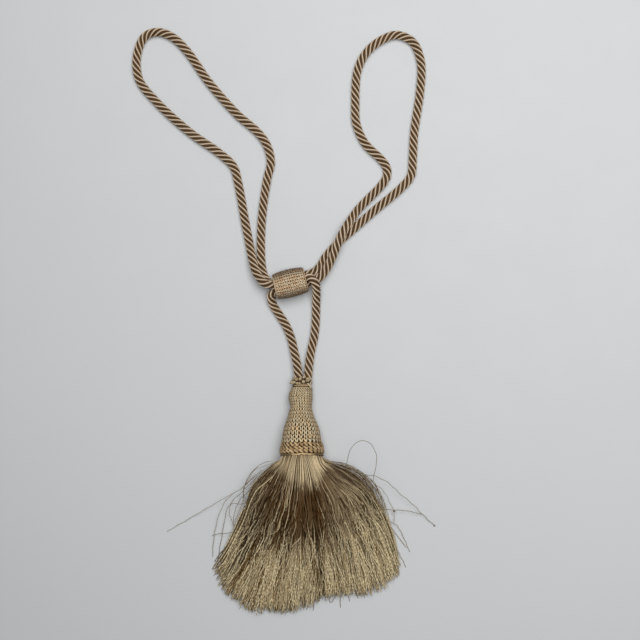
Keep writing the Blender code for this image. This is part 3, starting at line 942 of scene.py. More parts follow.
def make_bead():
    turn = math.radians(BEAD_TURN_DEG)
    half = BEAD_LENGTH / 2
    centre = np.array(BEAD_CENTRE)

    def place(turns, along, radius):
        angle = 2 * np.pi * turns
        across, up = radius * np.cos(angle), radius * np.sin(angle)
        spots = np.stack(
            [
                along * math.cos(turn) - across * math.sin(turn),
                along * math.sin(turn) + across * math.cos(turn),
                up,
            ],
            axis=-1,
        ) + centre
        spots[..., 2] = np.maximum(spots[..., 2], 0.45)
        return spots

    def radius_at(along):
        barrel = BEAD_END_RADIUS + (BEAD_MID_RADIUS - BEAD_END_RADIUS) * (1 - (along / half) ** 2)
        over = np.clip((np.abs(along) - half + 1.4) / 1.4, 0, 1.6)
        return barrel - 0.95 * over**2

    def surface(turns, along, out):
        reach = np.clip(along, -half + 0.35, half - 0.35)
        past = np.abs(along) - np.abs(reach)
        return place(-turns, reach, radius_at(along) - 0.9 * past + out)

    edges = np.linspace(-half + 0.2, half - 0.2, BEAD_ROWS + 1)
    even = np.ones(BEAD_ROWS)
    cover = stitches(
        surface, BEAD_COLUMNS, edges, 0.95 * even, 0.5 * even, 0.53 * even, 0.35 * even, seed=11,
        wide=0.42, narrow=0.10, shade=0.75, crown=0.75, spread=0.38,
    )
    # the hard mould under it, open from end to end
    profile = [(-half + 0.1, BEAD_BORE_RADIUS + 0.9)]
    for k in range(15):
        along = -half + 0.1 + (BEAD_LENGTH - 0.2) * k / 14
        profile.append((along, float(radius_at(np.array(along))) - 0.95))
    profile += [
        (half - 0.1, BEAD_BORE_RADIUS + 0.9),
        (half - 1.2, BEAD_BORE_RADIUS + 0.15),
        (half - 4.0, BEAD_BORE_RADIUS - 0.2),
        (-half + 4.0, BEAD_BORE_RADIUS - 0.2),
        (-half + 1.2, BEAD_BORE_RADIUS + 0.15),
        (-half + 0.1, BEAD_BORE_RADIUS + 0.9),
    ]
    profile = np.array(profile)
    turns = np.arange(56) / 56
    rings = place(turns[None, :], profile[:, :1], profile[:, 1:])
    mould = grid_part(rings[:-1], round_way=True)
    # the last ring is the first one again
    count, last = len(turns), (len(profile) - 2) * len(turns)
    k = np.arange(count)
    closing = np.stack([last + k, last + (k + 1) % count, (k + 1) % count, k], axis=-1)
    mould["faces"].append(closing)
    mould["map"].append(np.tile(np.array([[0.9, 0.9], [0.91, 0.9], [0.91, 0.91], [0.9, 0.91]]), (count, 1, 1)))
    mould["values"] = {"tone": np.full(count * (len(profile) - 1), 0.3), "under": np.full(count * (len(profile) - 1), 1.0)}
    # a laid thread round each mouth
    rims = []
    for side in (-1, 1):
        ring = place(np.arange(90)[None, :] / 90, np.full((1, 90), side * (half - 0.25)), BEAD_END_RADIUS - 0.75)
        rims.append(tubes(ring, 0.5, sides=6, closed=True, tone=[0.35], under=[0.25]))
    for part in (cover, *rims, mould):
        part["points"][:, 2] = np.maximum(part["points"][:, 2], 0.02)
    bead = piece(
        "crochet_bead",
        [cover, *rims, mould],
        [
            stitch_material("bead_thread", rgb(255, 239, 206), rgb(224, 184, 141), rgb(56, 27, 7)),
            mould_material("bead_mould", rgb(27, 15, 6), rgb(49, 31, 14)),
        ],
        material_of=[0, 0, 0, 1],
    )
    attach(bead, "root")
    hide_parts("slider_bead")
    return bead


def on_axis(along, side, up):
    """A place in the head's own directions: along its axis from the rim to the neck, to the side, and up."""
    tilt = math.radians(HEAD_TILT_DEG)
    along, side, up = np.broadcast_arrays(
        np.asarray(along, float), np.asarray(side, float), np.asarray(up, float)
    )
    return np.stack(
        [
            RIM_CENTRE[0] + side,
            RIM_CENTRE[1] + along * math.cos(tilt) + up * math.sin(tilt),
            RIM_CENTRE[2] - along * math.sin(tilt) + up * math.cos(tilt),
        ],
        axis=-1,
    )


def head_surface(turns, along, out):
    """On the head's cover: turns count from its top, rightwards."""
    table = np.array(HEAD_SECTIONS)
    found = smooth_table(table[:, 0], table[:, 1:], along)
    angle = np.pi / 2 - 2 * np.pi * turns
    radius = found[..., 1] + out
    return on_axis(along, found[..., 0] + radius * np.cos(angle), radius * np.sin(angle))


def make_head():
    edges = HEAD_ROWS_START + np.concatenate([[0.0], np.cumsum(HEAD_ROW_HEIGHTS)])
    edges = edges[edges < 60.6]
    rows = len(edges) - 1
    middle = (edges[1:] + edges[:-1]) / 2
    table = np.array(HEAD_SECTIONS)
    radius = smooth_table(table[:, 0], table[:, 1:], middle)[:, 1]
    pitch = 2 * np.pi * radius / HEAD_COLUMNS
    thick = np.clip(0.165 * pitch, 0.34, 0.80)
    slant = 1 - smoothstep((middle - 12.0) / 5.0)
    cover = stitches(
        head_surface, HEAD_COLUMNS, edges, thick * 1.35, thick * 0.95, thick, slant * 0.85, seed=23,
        shade=0.55, spread=0.26,
    )
    turns = np.arange(72) / 72
    along = np.concatenate([np.linspace(-0.6, 58.5, 48), [60.2, 60.6]])
    out = np.full(len(along), -1.55)
    out[-2:] = (-2.0, -4.0)
    inner = head_surface(-turns[None, :], along[:, None], out[:, None])
    mould = grid_part(inner, round_way=True, capped=True, flip=True, tone=0.3, under=1.0)
    # cords laid round its top, which draw it in to the collar, with more painted shade the deeper they lie in the
    # groove
    way = np.arange(60) / 60
    top = [
        tubes(head_surface(way, along, out)[None], 0.8, sides=6, closed=True, tone=[0.2], under=[dark])
        for along, out, dark in ((59.7, -0.95, 0.5), (60.35, -2.2, 0.75), (60.8, -3.5, 0.85))
    ]
    head = piece(
        "crochet_head",
        [cover, *top, mould],
        [
            stitch_material("head_thread", rgb(255, 244, 206), rgb(255, 219, 167), rgb(62, 30, 6)),
            mould_material("head_mould", rgb(30, 15, 4), rgb(56, 33, 11)),
        ],
        material_of=[0, 0, 0, 0, 1],
    )
    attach(head, "root")
    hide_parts("tassel_head")
    return head


def band_surface(turns, along, out):
    table = np.array(BAND_SECTIONS)
    radius = smooth_table(table[:, 0], table[:, 1], along) + out
    angle = np.pi / 2 - 2 * np.pi * turns
    return on_axis(along, 0.1 + radius * np.cos(angle), radius * np.sin(angle))


def make_band():
    edges = np.array(BAND_ROWS)
    rolled = stitches(
        band_surface, BAND_COLUMNS, edges, np.array([0.95, 1.0, 1.05]), np.array([1.05, 0.95, 0.9]),
        np.array([0.84, 0.80, 0.78]), np.array([1.0, 1.0, 0.95]), seed=31, wide=0.40, narrow=0.10,
    )
    # the thin cord below it, of two strands laid together
    steps = 300
    way = 2 * np.pi * np.arange(steps) / steps
    cords = []
    for k in range(2):
        lay = BAND_CORD_TURNS * way + np.pi * k
        radius = BAND_CORD_RADIUS + 0.5 * np.cos(lay)
        cords.append(
            on_axis(
                BAND_CORD_ALONG + 0.42 * np.sin(lay) + 0.22 * np.sin(9 * way + 0.7),
                0.1 + radius * np.cos(way),
                radius * np.sin(way),
            )
        )
    # painted shade: bright on top, and darker towards the sides
    side_shade = 0.75 * smoothstep((np.abs(np.cos(way + 0.04)) - 0.34) / 0.3)
    thin = tubes(
        np.stack(cords), 0.50, sides=7, closed=True, tone=[1.0, 0.9], under=np.stack([side_shade, side_shade]),
    )
    # the core they are worked on, painted dark as the shade between the stitches
    turns = np.arange(72) / 72
    core = [
        on_axis(along, 0.1 + radius * np.cos(2 * np.pi * turns), radius * np.sin(2 * np.pi * turns))
        for along, radius in (
            (0.2, 16.6), (1.3, 17.0), (2.5, 16.0), (3.6, 16.7), (5.4, 17.0), (9.0, 16.4), (13.2, 15.6),
            (13.2, 14.2), (0.2, 15.0),
        )
    ]
    ring = grid_part(np.stack(core), round_way=True, tone=0.3, under=1.0)
    count, last = len(turns), (len(core) - 1) * len(turns)
    k = np.arange(count)
    ring["faces"].append(np.stack([last + k, last + (k + 1) % count, (k + 1) % count, k], axis=-1))
    ring["map"].append(np.tile(np.array([[0.9, 0.9], [0.91, 0.9], [0.91, 0.91], [0.9, 0.91]]), (count, 1, 1)))
    ring["faces"] = [f[:, ::-1] for f in ring["faces"]]
    ring["map"] = [x[:, ::-1] for x in ring["map"]]
    for part in (rolled, thin, ring):
        part["points"][:, 2] = np.maximum(part["points"][:, 2], 0.05)
    band = piece(
        "twisted_rim_band",
        [rolled, thin, ring],
        [
            stitch_material("band_cord", rgb(252, 221, 170), rgb(154, 120, 75), rgb(44, 23, 5), ply=2.2),
            mould_material("band_core", rgb(28, 18, 9), rgb(50, 35, 20)),
        ],
        material_of=[0, 0, 1],
    )
    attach(band, "root")
    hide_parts("rim_band")
    return band


# knots on the collar: turns rightwards from its top, along the axis, size, cord radius, and how far it is rolled over
BINDING_KNOTS = (
    (-0.165, 61.7, 0.85, 0.58, 0.4),
    (-0.122, 62.6, 0.95, 0.60, 2.0),
    (-0.130, 65.7, 0.95, 0.60, 1.1),
    (-0.078, 64.9, 1.15, 0.64, 2.7),
    (-0.072, 61.6, 0.95, 0.58, 0.9),
    (-0.022, 65.2, 0.95, 0.60, 1.4),
    (-0.030, 61.5, 0.75, 0.52, 1.9),
    (0.028, 62.9, 1.15, 0.66, 0.7),
    (0.036, 66.6, 0.75, 0.52, 2.4),
    (0.098, 64.9, 1.75, 0.84, 0.0),
    (0.112, 60.5, 1.3, 0.72, 2.2),
    (0.172, 61.6, 1.0, 0.62, 1.7),
    (0.178, 65.6, 1.0, 0.62, 0.9),
    (0.235, 63.2, 1.1, 0.62, 0.9),
    (0.30, 62.4, 1.1, 0.62, 0.3),
    (0.37, 64.6, 1.1, 0.62, 1.9),
    (0.45, 62.6, 1.1, 0.62, 1.0),
    (0.53, 64.5, 1.1, 0.62, 2.4),
    (0.61, 62.6, 1.1, 0.62, 0.5),
    (0.69, 64.6, 1.1, 0.62, 1.5),
    (0.77, 63.4, 1.0, 0.58, 0.6),
)


def on_collar(turns, along, out):
    angle = np.pi / 2 - 2 * np.pi * np.asarray(turns, float)
    return on_axis(
        along,
        BINDING_SIDE + (BINDING_HALF_WIDTH + out) * np.cos(angle),
        (BINDING_HALF_HEIGHT + out) * np.sin(angle),
    )


def make_binding():
    rng = np.random.default_rng(47)
    parts = []
    # wraps round the neck, painted dark as the shade under the knots
    way = np.arange(84) / 84
    for k, along in enumerate((59.9, 61.7, 63.8, 65.9)):
        wave = 0.45 * np.sin(2 * np.pi * (3 * way + 0.27 * k)) + 0.3 * np.sin(2 * np.pi * (7 * way + 0.61 * k))
        out = -2.5 + 0.3 * np.sin(2 * np.pi * (5 * way + 0.4 * k))
        parts.append(
            tubes(
                on_collar(way, along + (wave if k else 0.0), out + (0.0 if k else 0.4))[None],
                0.85,
                sides=7,
                closed=True,
                tone=[0.0],
                under=[0.85],
            )
        )
    # small knots: each a cord curled once and a half round itself
    for turns, along, size, thick, roll in BINDING_KNOTS:
        middle = on_collar(turns, along, -1.25)
        angle = np.pi / 2 - 2 * np.pi * turns
        out = unit(on_collar(turns, along, 1.0) - on_collar(turns, along, 0.0))
        round_way = unit(on_axis(0, -np.sin(angle), np.cos(angle)) - on_axis(0, 0, 0))
        side = np.cross(out, round_way)
        a = round_way * math.cos(roll) + side * math.sin(roll)
        b = np.cross(out, a)
        t = np.linspace(0, 1, 22)
        swing = 2 * np.pi * 1.3 * t
        wide = size * (0.95 - 0.5 * t)
        height = 0.45 * size * np.sin(np.pi * t) + 0.55 * t
        curl = (
            middle
            + (wide * np.cos(swing))[:, None] * a
            + 0.85 * (wide * np.sin(swing))[:, None] * b
            + height[:, None] * out
        )
        # painted shade: darker at both ends of the cord and towards the collar's sides
        parts.append(
            tubes(
                curl[None],
                thick * (0.7 + 0.3 * np.sin(np.pi * t) ** 0.5)[None],
                sides=6,
                tone=[np.clip(rng.normal(0.7, 0.3), 0, 1)],
                under=np.minimum(0.75 * np.abs(2 * t - 1) ** 3 + 0.3 * abs(math.sin(2 * math.pi * turns)) ** 2, 1)[None],
            )
        )
    # the loose end at the left and the tail at the right
    for way_out in (
        ((-6.8, 119.4, 11.6), (-8.4, 119.0, 10.8), (-9.4, 118.4, 10.0), (-10.0, 117.9, 9.2)),
        ((5.4, 118.2, 15.8), (6.8, 116.4, 16.6), (8.0, 114.6, 16.4), (8.8, 113.2, 15.6)),
    ):
        line = evenly(smooth_line(way_out, 6), 12)
        taper = 0.7 * (1 - 0.35 * np.linspace(0, 1, 12) ** 2)
        parts.append(tubes(line[None], taper[None], sides=6, tone=[0.6], under=(0.7 * np.linspace(0, 1, 12) ** 3)[None]))
    # the middle under the knots, painted dark as the shade between them
    turns = -np.arange(48) / 48
    middle = np.stack(
        [on_collar(turns, along, out) for along, out in ((59.7, -3.8), (60.6, -2.7), (63.2, -2.5), (65.8, -2.7), (66.7, -3.9))]
    )
    core = grid_part(middle, round_way=True, capped=True, flip=True, tone=0.3, under=1.0)
    parts.append(core)
    for part in parts:
        part["points"][:, 2] = np.maximum(part["points"][:, 2], 0.05)
    binding = piece(
        "knotted_binding",
        parts,
        [
            stitch_material("binding_cord", rgb(255, 240, 204), rgb(206, 176, 130), rgb(56, 36, 16), ply=1.5),
            mould_material("binding_core", rgb(24, 15, 8), rgb(42, 29, 18)),
        ],
        material_of=[0] * (len(parts) - 1) + [1],
    )
    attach(binding, "root")
    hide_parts("neck_binding")
    return binding


# ---- fringe ---------------------------------------------------------------------------

GUIDE_PLACES = np.array([guide[0] for guide in SKIRT_GUIDES])
GUIDE_LINES = np.array([guide[1:] for guide in SKIRT_GUIDES], float)
STATIONS = np.linspace(0.0, 1.0, GUIDE_LINES.shape[1])


def skirt_plan(across, station):
    """Where a place on the spread fringe lies, seen from above."""
    lines = smooth_table(STATIONS, GUIDE_LINES.transpose(1, 0, 2), station)
    over = np.maximum(np.asarray(station) - 1, 0)[..., None, None] * (len(STATIONS) - 1)
    lines = lines + over * (GUIDE_LINES[:, -1] - GUIDE_LINES[:, -2])
    weights = smooth_table(GUIDE_PLACES, np.eye(len(GUIDE_PLACES)), across)
    return (lines * weights[..., None]).sum(-2)


def hem_station(across):
    reach = 1.0 + 0.012 * np.sin(9 * across + 1) + 0.010 * np.sin(23 * across)
    for place, depth, half_width in HEM_GAPS:
        reach = reach - depth * np.maximum(0.0, 1 - np.abs(across - place) / half_width)
    return reach


def skirt_height(across, station):
    table = np.array(SKIRT_CROWN)
    found = smooth_table(table[:, 0], table[:, 1:], np.minimum(station, 1.0))
    crown, edge = found[..., 0], found[..., 1]
    round_off = np.maximum(0.0, 1 - np.abs(across) ** 2.3) ** 0.55
    swell = SKIRT_TUFT_HEIGHT * np.cos(
        np.pi * SKIRT_TUFTS * across + 1.5 * np.sin(4 * station)
    )
    return edge + (crown - edge) * round_off + swell * round_off * smoothstep((station - 0.12) / 0.4)


def skirt_spot(across, share, station, high):
    """A place in the fringe: high is 1 on its upper surface and 0 on the table."""
    places, sides = np.array(FRINGE_ROOTS).T
    angle = np.arcsin(np.clip(smooth_table(places, sides, across), -1, 1))
    spread = smoothstep(share / 0.06)[..., None]
    root = on_axis(
        0.45 - 60 * share,
        SKIRT_ROOT_RADIUS * np.sin(angle),
        SKIRT_ROOT_RADIUS * np.cos(angle) * (2 * high - 1),
    )
    flat = skirt_plan(across, station)
    free = np.concatenate([flat, (high * skirt_height(across, station))[..., None]], axis=-1)
    return root + (free - root) * spread


def skirt_top(x, y):
    """Height of the fringe's upper surface at places seen from above."""
    across, station = np.meshgrid(np.linspace(-1, 1, 161), np.linspace(0.1, 1.0, 91))
    flat = skirt_plan(across, station)
    z = skirt_height(across, station)
    found = []
    for px, py in zip(np.atleast_1d(x), np.atleast_1d(y)):
        far = (flat[..., 0] - px) ** 2 + (flat[..., 1] - py) ** 2
        found.append(z.reshape(-1)[far.argmin()])
    return np.array(found)


def fringe_lines(rng, count):
    """Middle lines of cut fringe threads, with their radius and what their material reads."""
    t = (np.linspace(0, 1, FRINGE_POINTS) ** 0.84)[None, :]
    place = (np.arange(count) + rng.uniform(0, 1, count)) / count * 2 - 1
    place = np.where(place > 0, 0.97, 0.945) * place
    rng.shuffle(place)
    # some lie low down along the two side edges, which show from behind
    low = rng.uniform(0, 1, count) < 0.06
    place = np.where(low, np.where(place > 0, 1.0, 0.96) * np.sign(place) * rng.uniform(0.89, 0.985, count), place)
    level = rng.uniform(0.04, 0.92, count)
    # a thread starts in one tuft at the rim and ends in a lock of others at the hem
    tufts = (np.arange(74) + rng.uniform(0, 1, 74)) / 74 * 2 - 1
    tuft = np.abs(place[:, None] - tufts[None, :]).argmin(1)
    locks = np.sort(rng.uniform(-1.0, 1.0, 170))
    lock = np.abs(place[:, None] - locks[None, :]).argmin(1)
    upper = 1 - smoothstep((t - 0.08) / 0.42)
    lower = smoothstep((t - 0.25) / 0.5)
    across = (
        place[:, None]
        + ((tufts[tuft] - place) * 0.72)[:, None] * upper
        + ((locks[lock] - place) * rng.uniform(0.0, 0.42, count))[:, None] * lower
        + rng.normal(0, 0.009, count)[:, None] * (1 - smoothstep(t / 0.35))
    )
    # one that would pass a side edge turns back, so that none lie on one line there
    across = np.where(across > 0.975, 1.95 - across, np.where(across < -0.95, -1.90 - across, across))
    # how deep it lies under the fringe's surface: many threads over one another
    layer = rng.uniform(0, 1, count)
    reach = hem_station(place) * (1 - rng.exponential(0.016, count).clip(0, 0.12) + 0.008 - 0.02 * layer)
    # how far it leans aside over its lower part: one that leans far ends short
    lean = np.where(rng.uniform(0, 1, count) < 0.45, rng.normal(0, 10.5, count), rng.normal(0, 3.8, count))
    lean = np.radians(np.clip(lean + rng.normal(0, 1.6, len(locks))[lock], -19, 19))
    reach = reach * (1 - 0.55 * np.maximum(np.abs(lean) - 0.06, 0))
    short = rng.uniform(0, 1, count) < 0.13
    reach = np.where(short, reach * rng.uniform(0.72, 0.97, count), reach)
    share = t * np.ones((count, 1))
    station = share * reach[:, None]
    height = skirt_height(across, station)
    pile = np.minimum(3.0 + (FRINGE_PILE - 3.0) * smoothstep(t / 0.5), 0.92 * height)
    sunk = 0.25 * upper * np.abs(rng.normal(0, 1, len(tufts)))[tuft][:, None].clip(0, 2)
    sunk = sunk + 0.4 * lower * np.abs(rng.normal(0, 1, len(locks)))[lock][:, None].clip(0, 1.6)
    depth = pile * layer[:, None] + np.minimum(sunk, 0.4 * height)
    high = np.where(low[:, None], level[:, None], np.clip(1 - depth / height, 0.03, 1.0))
    line = skirt_spot(across, share, station, high)
    # sideways drift, slow waves and the yarn's crimp
    ahead = np.gradient(line[..., :2], axis=1)
    ahead = unit(ahead)
    side = np.stack([-ahead[..., 1], ahead[..., 0], np.zeros(ahead.shape[:2])], axis=-1)
    walked = np.concatenate(
        [np.zeros((count, 1)), np.cumsum(np.linalg.norm(np.diff(line, axis=1), axis=2), axis=1)],
        axis=1,
    )
    total = walked[:, -1:]
    start = rng.uniform(0.05, 0.55, count)[:, None]
    drift = np.tan(lean)[:, None] * np.maximum(t - start, 0) ** 1.15 * total

    def wave(low, high_):
        length = rng.uniform(low, high_, count)[:, None]
        return np.sin(2 * np.pi * walked / length + rng.uniform(0, 2 * np.pi, count)[:, None])

    slow = smoothstep((t - 0.08) / 0.4)
    crimp = 0.04 + 0.31 * smoothstep((t - 0.36) / 0.24)
    amount = rng.uniform(0.5, 1.5, count)[:, None]
    sideways = drift + amount * (0.9 * slow * wave(24, 48) + crimp * wave(8.5, 13.0))
    # none strays far out past the two side edges, apart from some that hang clear of them
    outward = np.where(place[:, None] < 0, -1.0, 1.0)
    room = (1 - np.abs(across)) * (18 + 34 * station) + (rng.exponential(1.3, count).clip(0, 5) * np.where(place > 0, 1.0, 0.7))[:, None] * smoothstep(station / 0.6)
    past = np.maximum(sideways * outward - room, 0)
    sideways = sideways - 0.9 * past * outward
    clear = (rng.uniform(0, 1, count) < np.where(place > 0, 0.3, 0.2)) * (1.0 - low) * smoothstep((np.abs(place) - 0.82) / 0.08)
    clear = clear * rng.uniform(1.0, np.where(place > 0, 10.0, 7.0), count)
    sideways = sideways + outward * clear[:, None] * np.sin(np.pi * np.clip(t / 0.75, 0, 1)) ** 1.2
    upward = amount * (0.25 * slow * wave(22, 44) + 0.8 * crimp * wave(8.5, 13.0))
    # a few lift a little off the pile at their ends
    loose = (rng.uniform(0, 1, count) < 0.15)[:, None]
    upward = upward + loose * rng.uniform(0.5, 2.4, count)[:, None] * smoothstep((t - 0.5) / 0.5)
    line = line + side * sideways[..., None]
    line[..., 2] = np.maximum(line[..., 2] + upward, 0.52)
    radius = FRINGE_RADIUS * (0.46 + 0.54 * smoothstep((t - 0.05) / 0.4)) * rng.uniform(0.75, 1.22, count)[:, None]
    radius = radius * (1 - 0.45 * smoothstep((t - 0.93) / 0.07)) * (1 - 0.35 * (clear > 0))[:, None]
    x = line[..., 0]
    # the brown band of painted shade starts and ends unevenly from thread to thread, and golden threads take less of it
    shift = rng.normal(0, 0.03, count)[:, None]
    starts = 0.13 - 0.075 * smoothstep((np.abs(place - 0.05) - 0.2) / 0.3)[:, None]
    band = smoothstep((station - shift - starts) / 0.10) * (1 - smoothstep((station - 1.8 * shift - 0.465) / 0.18))
    golden = rng.uniform(0, 1, count) < 0.09 + 0.30 * smoothstep((-0.22 - place) / 0.2)
    band_shade = np.where(golden, rng.uniform(0.15, 0.5, count), rng.uniform(0.88, 1.0, count))[:, None]
    # painted shade, weaker towards the right and the far left
    brown = band * band_shade * (1 - 0.44 * smoothstep((x - 12) / 30)) * (1 - 0.3 * smoothstep((-x - 24) / 20))
    # tone differs at random from thread to thread and tuft to tuft, and is lighter in the lower part towards the right
    # and near the hem; painted shade darkens it right at the rim, under the band, and on tufts that lie sunk
    tone = 0.78 + rng.normal(0, 1, count)[:, None] * (0.42 - 0.08 * upper) + 0.08 * lower * smoothstep((x - 14) / 20)
    tone = tone + 0.14 * smoothstep((t - 0.72) / 0.2) * smoothstep((x + 22) / 12)
    tone = tone + rng.normal(-0.04, 0.36, len(tufts))[tuft][:, None] * upper - 0.3 * (1 - smoothstep(t / 0.05))
    tone = np.clip(tone - 0.15 * sunk * upper, 0, 1)
    deep = 0.92 * smoothstep((depth - upward - 0.5) / (0.5 * pile))
    # painted shade by depth under the pile: less so towards the rim, the hem and the side edges, where there is little
    # to lie under
    deep = deep * (1 - 0.15 * upper) * (1 - 0.45 * smoothstep((t - 0.84) / 0.12))
    deep = deep * (1 - 0.55 * smoothstep((np.abs(across) - 0.72) / 0.2)) * (1 - 0.25 * smoothstep((x - 20) / 25))
    deep = np.where(low[:, None], 0.25 + 0.4 * smoothstep((t - 0.1) / 0.3), deep)
    return line, radius, {"tone": tone, "share": share, "brown": brown, "deep": deep}


def make_fringe():
    rng = np.random.default_rng(55)
    total = FRINGE_THREADS // 1
    line, radius, values = fringe_lines(rng, total)
    order = np.argsort(line[:, line.shape[1] // 2, 0])
    material = fringe_material("fringe_thread")
    pieces = []
    for k, members in enumerate(np.array_split(order, FRINGE_PIECES)):
        part = tubes(
            line[members],
            radius[members],
            sides=4,
            **{name: value[members] for name, value in values.items()},
        )
        part["points"][:, 2] = np.maximum(part["points"][:, 2], 0.03)
        obj = piece(f"fringe_threads_{k + 1}", [part], [material], bake=strip_map([part]))
        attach(obj, "root")
        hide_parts("tassel_skirt")
        pieces.append(obj)
    # the dense inside of the fringe, painted dark as the shade in the gaps between threads, and lighter towards the hem
    rows, columns = 44, 96
    share = (np.linspace(0, 1, rows) ** 1.1)[:, None] * np.ones((1, columns))
    across = np.linspace(-0.93, 0.93, columns)[None, :] * np.ones((rows, 1))
    station = share * hem_station(across) * 0.93
    top = skirt_spot(across, share, station, 0.80 + 0 * share)
    under = skirt_spot(across, share, station, 0.0 * share)
    ripple = 0.35 * np.sin(across * 210) * smoothstep(share * 5)
    top[..., 2] += ripple - 0.4
    top[..., 2] = np.maximum(top[..., 2], 0.9)
    under[..., 2] = np.maximum(under[..., 2], 0.06)
    ring = np.concatenate([top, under[:, ::-1]], axis=1)
    body = grid_part(ring, round_way=True, capped=True, flip=True, share=np.concatenate([share, share], axis=1))
    inside = Nodes("fringe_inside")
    around, along = inside.threads()
    streak = inside.noise(
        1.0, 3.0, 0.6, vector=streaks(inside, around, along)
    )
    colour = inside.mix(streak, rgb(44, 28, 11), rgb(96, 71, 38))
    colour = inside.mix(inside.scaled(inside.value("share"), 0.6, 0.9, 0.0, 0.6), colour, rgb(144, 120, 82))
    inside.bump(streak, 0.8, 0.0008)
    inside.done(colour, inside.scaled(streak, 0.2, 0.8, 0.6, 0.8))
    obj = piece("fringe_inside", [body], [inside.material])
    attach(obj, "root")
    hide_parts("tassel_skirt")
    return pieces


def streaks(nodes, around, along):
    """Coordinates that draw noise out into long lines down the fringe."""
    joined = nodes.node("ShaderNodeCombineXYZ")
    nodes.put(joined.inputs[0], nodes.math("MULTIPLY", around, 620.0))
    nodes.put(joined.inputs[1], nodes.math("MULTIPLY", along, 14.0))
    return joined.outputs[0]


# Threads that have strayed from the fringe: x, y, z of points on each.
STRAY_THREADS = (
    ((-18.1, 54.5, 26.0), (-27.1, 50.3, 22.0), (-39.6, 45.0, 17.0), (-49.6, 30.2, 12.0), (-66.4, 19.8, 8.0), (-83.0, 9.6, 4.0), (-99.6, -0.2, 1.5), (-116.1, -9.8, 0.6)),
    ((-33.6, 45.0, 17.0), (-49.9, 30.1, 13.0), (-63.6, 19.4, 9.0), (-71.0, 5.2, 6.0), (-73.7, -4.9, 4.0), (-75.8, -16.8, 2.5), (-76.6, -31.5, 1.5)),
    ((-37.0, 40.0, 17.0), (-51.7, 25.1, 12.0), (-61.0, 15.3, 8.0), (-64.4, 8.7, 6.0), (-67.2, -4.9, 4.0), (-70.0, -21.1, 2.0), (-72.5, -35.8, 1.5)),
    ((-38.8, 27.8, 15.0), (-49.7, 15.7, 11.0), (-59.5, 15.4, 9.0), (-62.1, 7.4, 7.0), (-59.2, -1.3, 6.0), (-57.3, -6.9, 5.0)),
    ((-42.1, 29.7, 16.0), (-52.9, 18.5, 12.0), (-57.0, 9.1, 9.0), (-58.4, -0.6, 7.0), (-55.9, -9.3, 6.0)),
    ((-38.6, 41.8, 18.0), (-48.8, 30.5, 14.0), (-49.6, 25.1, 12.0), (-47.7, 16.6, 12.0), (-45.7, 12.1, 12.0)),
    ((-76.8, -13.0, 2.0), (-73.2, -11.7, 3.0), (-66.7, -10.8, 5.0), (-59.7, -9.6, 7.0), (-52.7, -8.4, 9.0)),
    ((37.9, 45.4, 20.0), (38.3, 51.4, 21.0), (39.3, 58.4, 23.0), (41.5, 63.9, 26.0), (44.8, 68.3, 28.0), (49.6, 71.2, 29.0), (52.2, 71.2, 29.0), (55.6, 69.6, 28.0), (59.9, 65.9, 26.0), (62.2, 60.8, 24.0), (63.3, 55.1, 21.0), (63.2, 50.7, 18.0), (62.2, 44.8, 15.0), (61.4, 39.9, 13.0), (60.8, 35.1, 12.0)),
    ((20.5, 52.5, 30.0), (29.5, 50.1, 26.0), (37.0, 50.3, 23.0), (42.0, 48.1, 21.0), (51.9, 41.8, 18.0), (61.8, 39.8, 16.0), (73.3, 33.8, 13.0), (83.3, 24.3, 10.0), (95.0, 14.3, 7.0), (103.1, 5.6, 4.0), (113.9, -4.4, 1.2)),
    ((59.8, 10.4, 11.0), (66.6, 10.5, 10.0), (72.7, 10.2, 8.0), (78.8, 9.6, 6.5), (89.5, 8.7, 5.0), (96.9, 7.1, 4.5), (103.0, 5.6, 4.2)),
    ((40.8, 45.7, 22.0), (49.3, 42.8, 19.0), (56.4, 37.4, 17.0), (62.9, 31.4, 14.0), (67.1, 24.2, 12.0), (70.0, 16.1, 10.0), (70.9, 10.3, 9.0), (71.0, 3.8, 8.0)),
    ((57.8, 35.7, 17.0), (65.6, 30.3, 14.0), (70.8, 24.7, 11.0), (74.3, 17.4, 9.0), (78.1, 9.9, 6.5), (79.1, 4.2, 5.0), (78.6, -2.6, 3.5)),
    ((61.4, 13.8, 12.0), (69.3, 6.7, 8.0), (74.5, 0.6, 6.0), (81.8, -4.6, 3.5), (86.1, -12.1, 2.0), (92.7, -27.4, 0.8)),
    ((68.4, 3.0, 8.0), (76.8, -6.0, 4.0), (83.3, -15.0, 2.0), (89.7, -23.6, 1.0)),
    ((76.3, -16.3, 5.0), (80.7, -23.5, 3.0), (85.1, -31.5, 1.5), (89.3, -40.6, 0.7)),
    ((73.7, -20.6, 5.0), (79.0, -29.5, 3.0), (84.9, -38.5, 0.8)),
    ((72.0, -26.8, 4.0), (77.3, -35.6, 2.5), (82.9, -45.4, 0.8)),
    ((68.6, -33.6, 4.0), (72.1, -41.6, 2.5), (76.5, -50.6, 0.8)),
    ((12.9, -54.6, 6.0), (11.6, -58.4, 4.5), (9.8, -62.7, 3.0), (6.9, -70.2, 1.5), (3.8, -77.0, 0.8)),
    ((13.4, -57.4, 5.0), (11.7, -66.4, 3.0), (10.2, -72.8, 1.5), (9.5, -77.6, 0.8)),
    ((25.3, -55.7, 5.0), (24.8, -61.9, 4.0), (23.7, -69.6, 2.0), (25.1, -71.0, 1.6), (28.1, -65.7, 2.4), (30.1, -60.2, 4.0)),
    ((38.6, -54.8, 5.0), (39.5, -62.1, 3.0), (41.0, -69.9, 0.9)),
    ((43.3, -54.0, 5.0), (45.5, -60.4, 3.0), (48.4, -67.2, 0.9)),
    ((51.5, -54.0, 5.0), (52.9, -60.4, 3.0), (53.8, -66.4, 0.9)),
    ((32.6, -59.3, 4.0), (33.0, -68.3, 2.0), (33.0, -75.2, 0.8)),
)
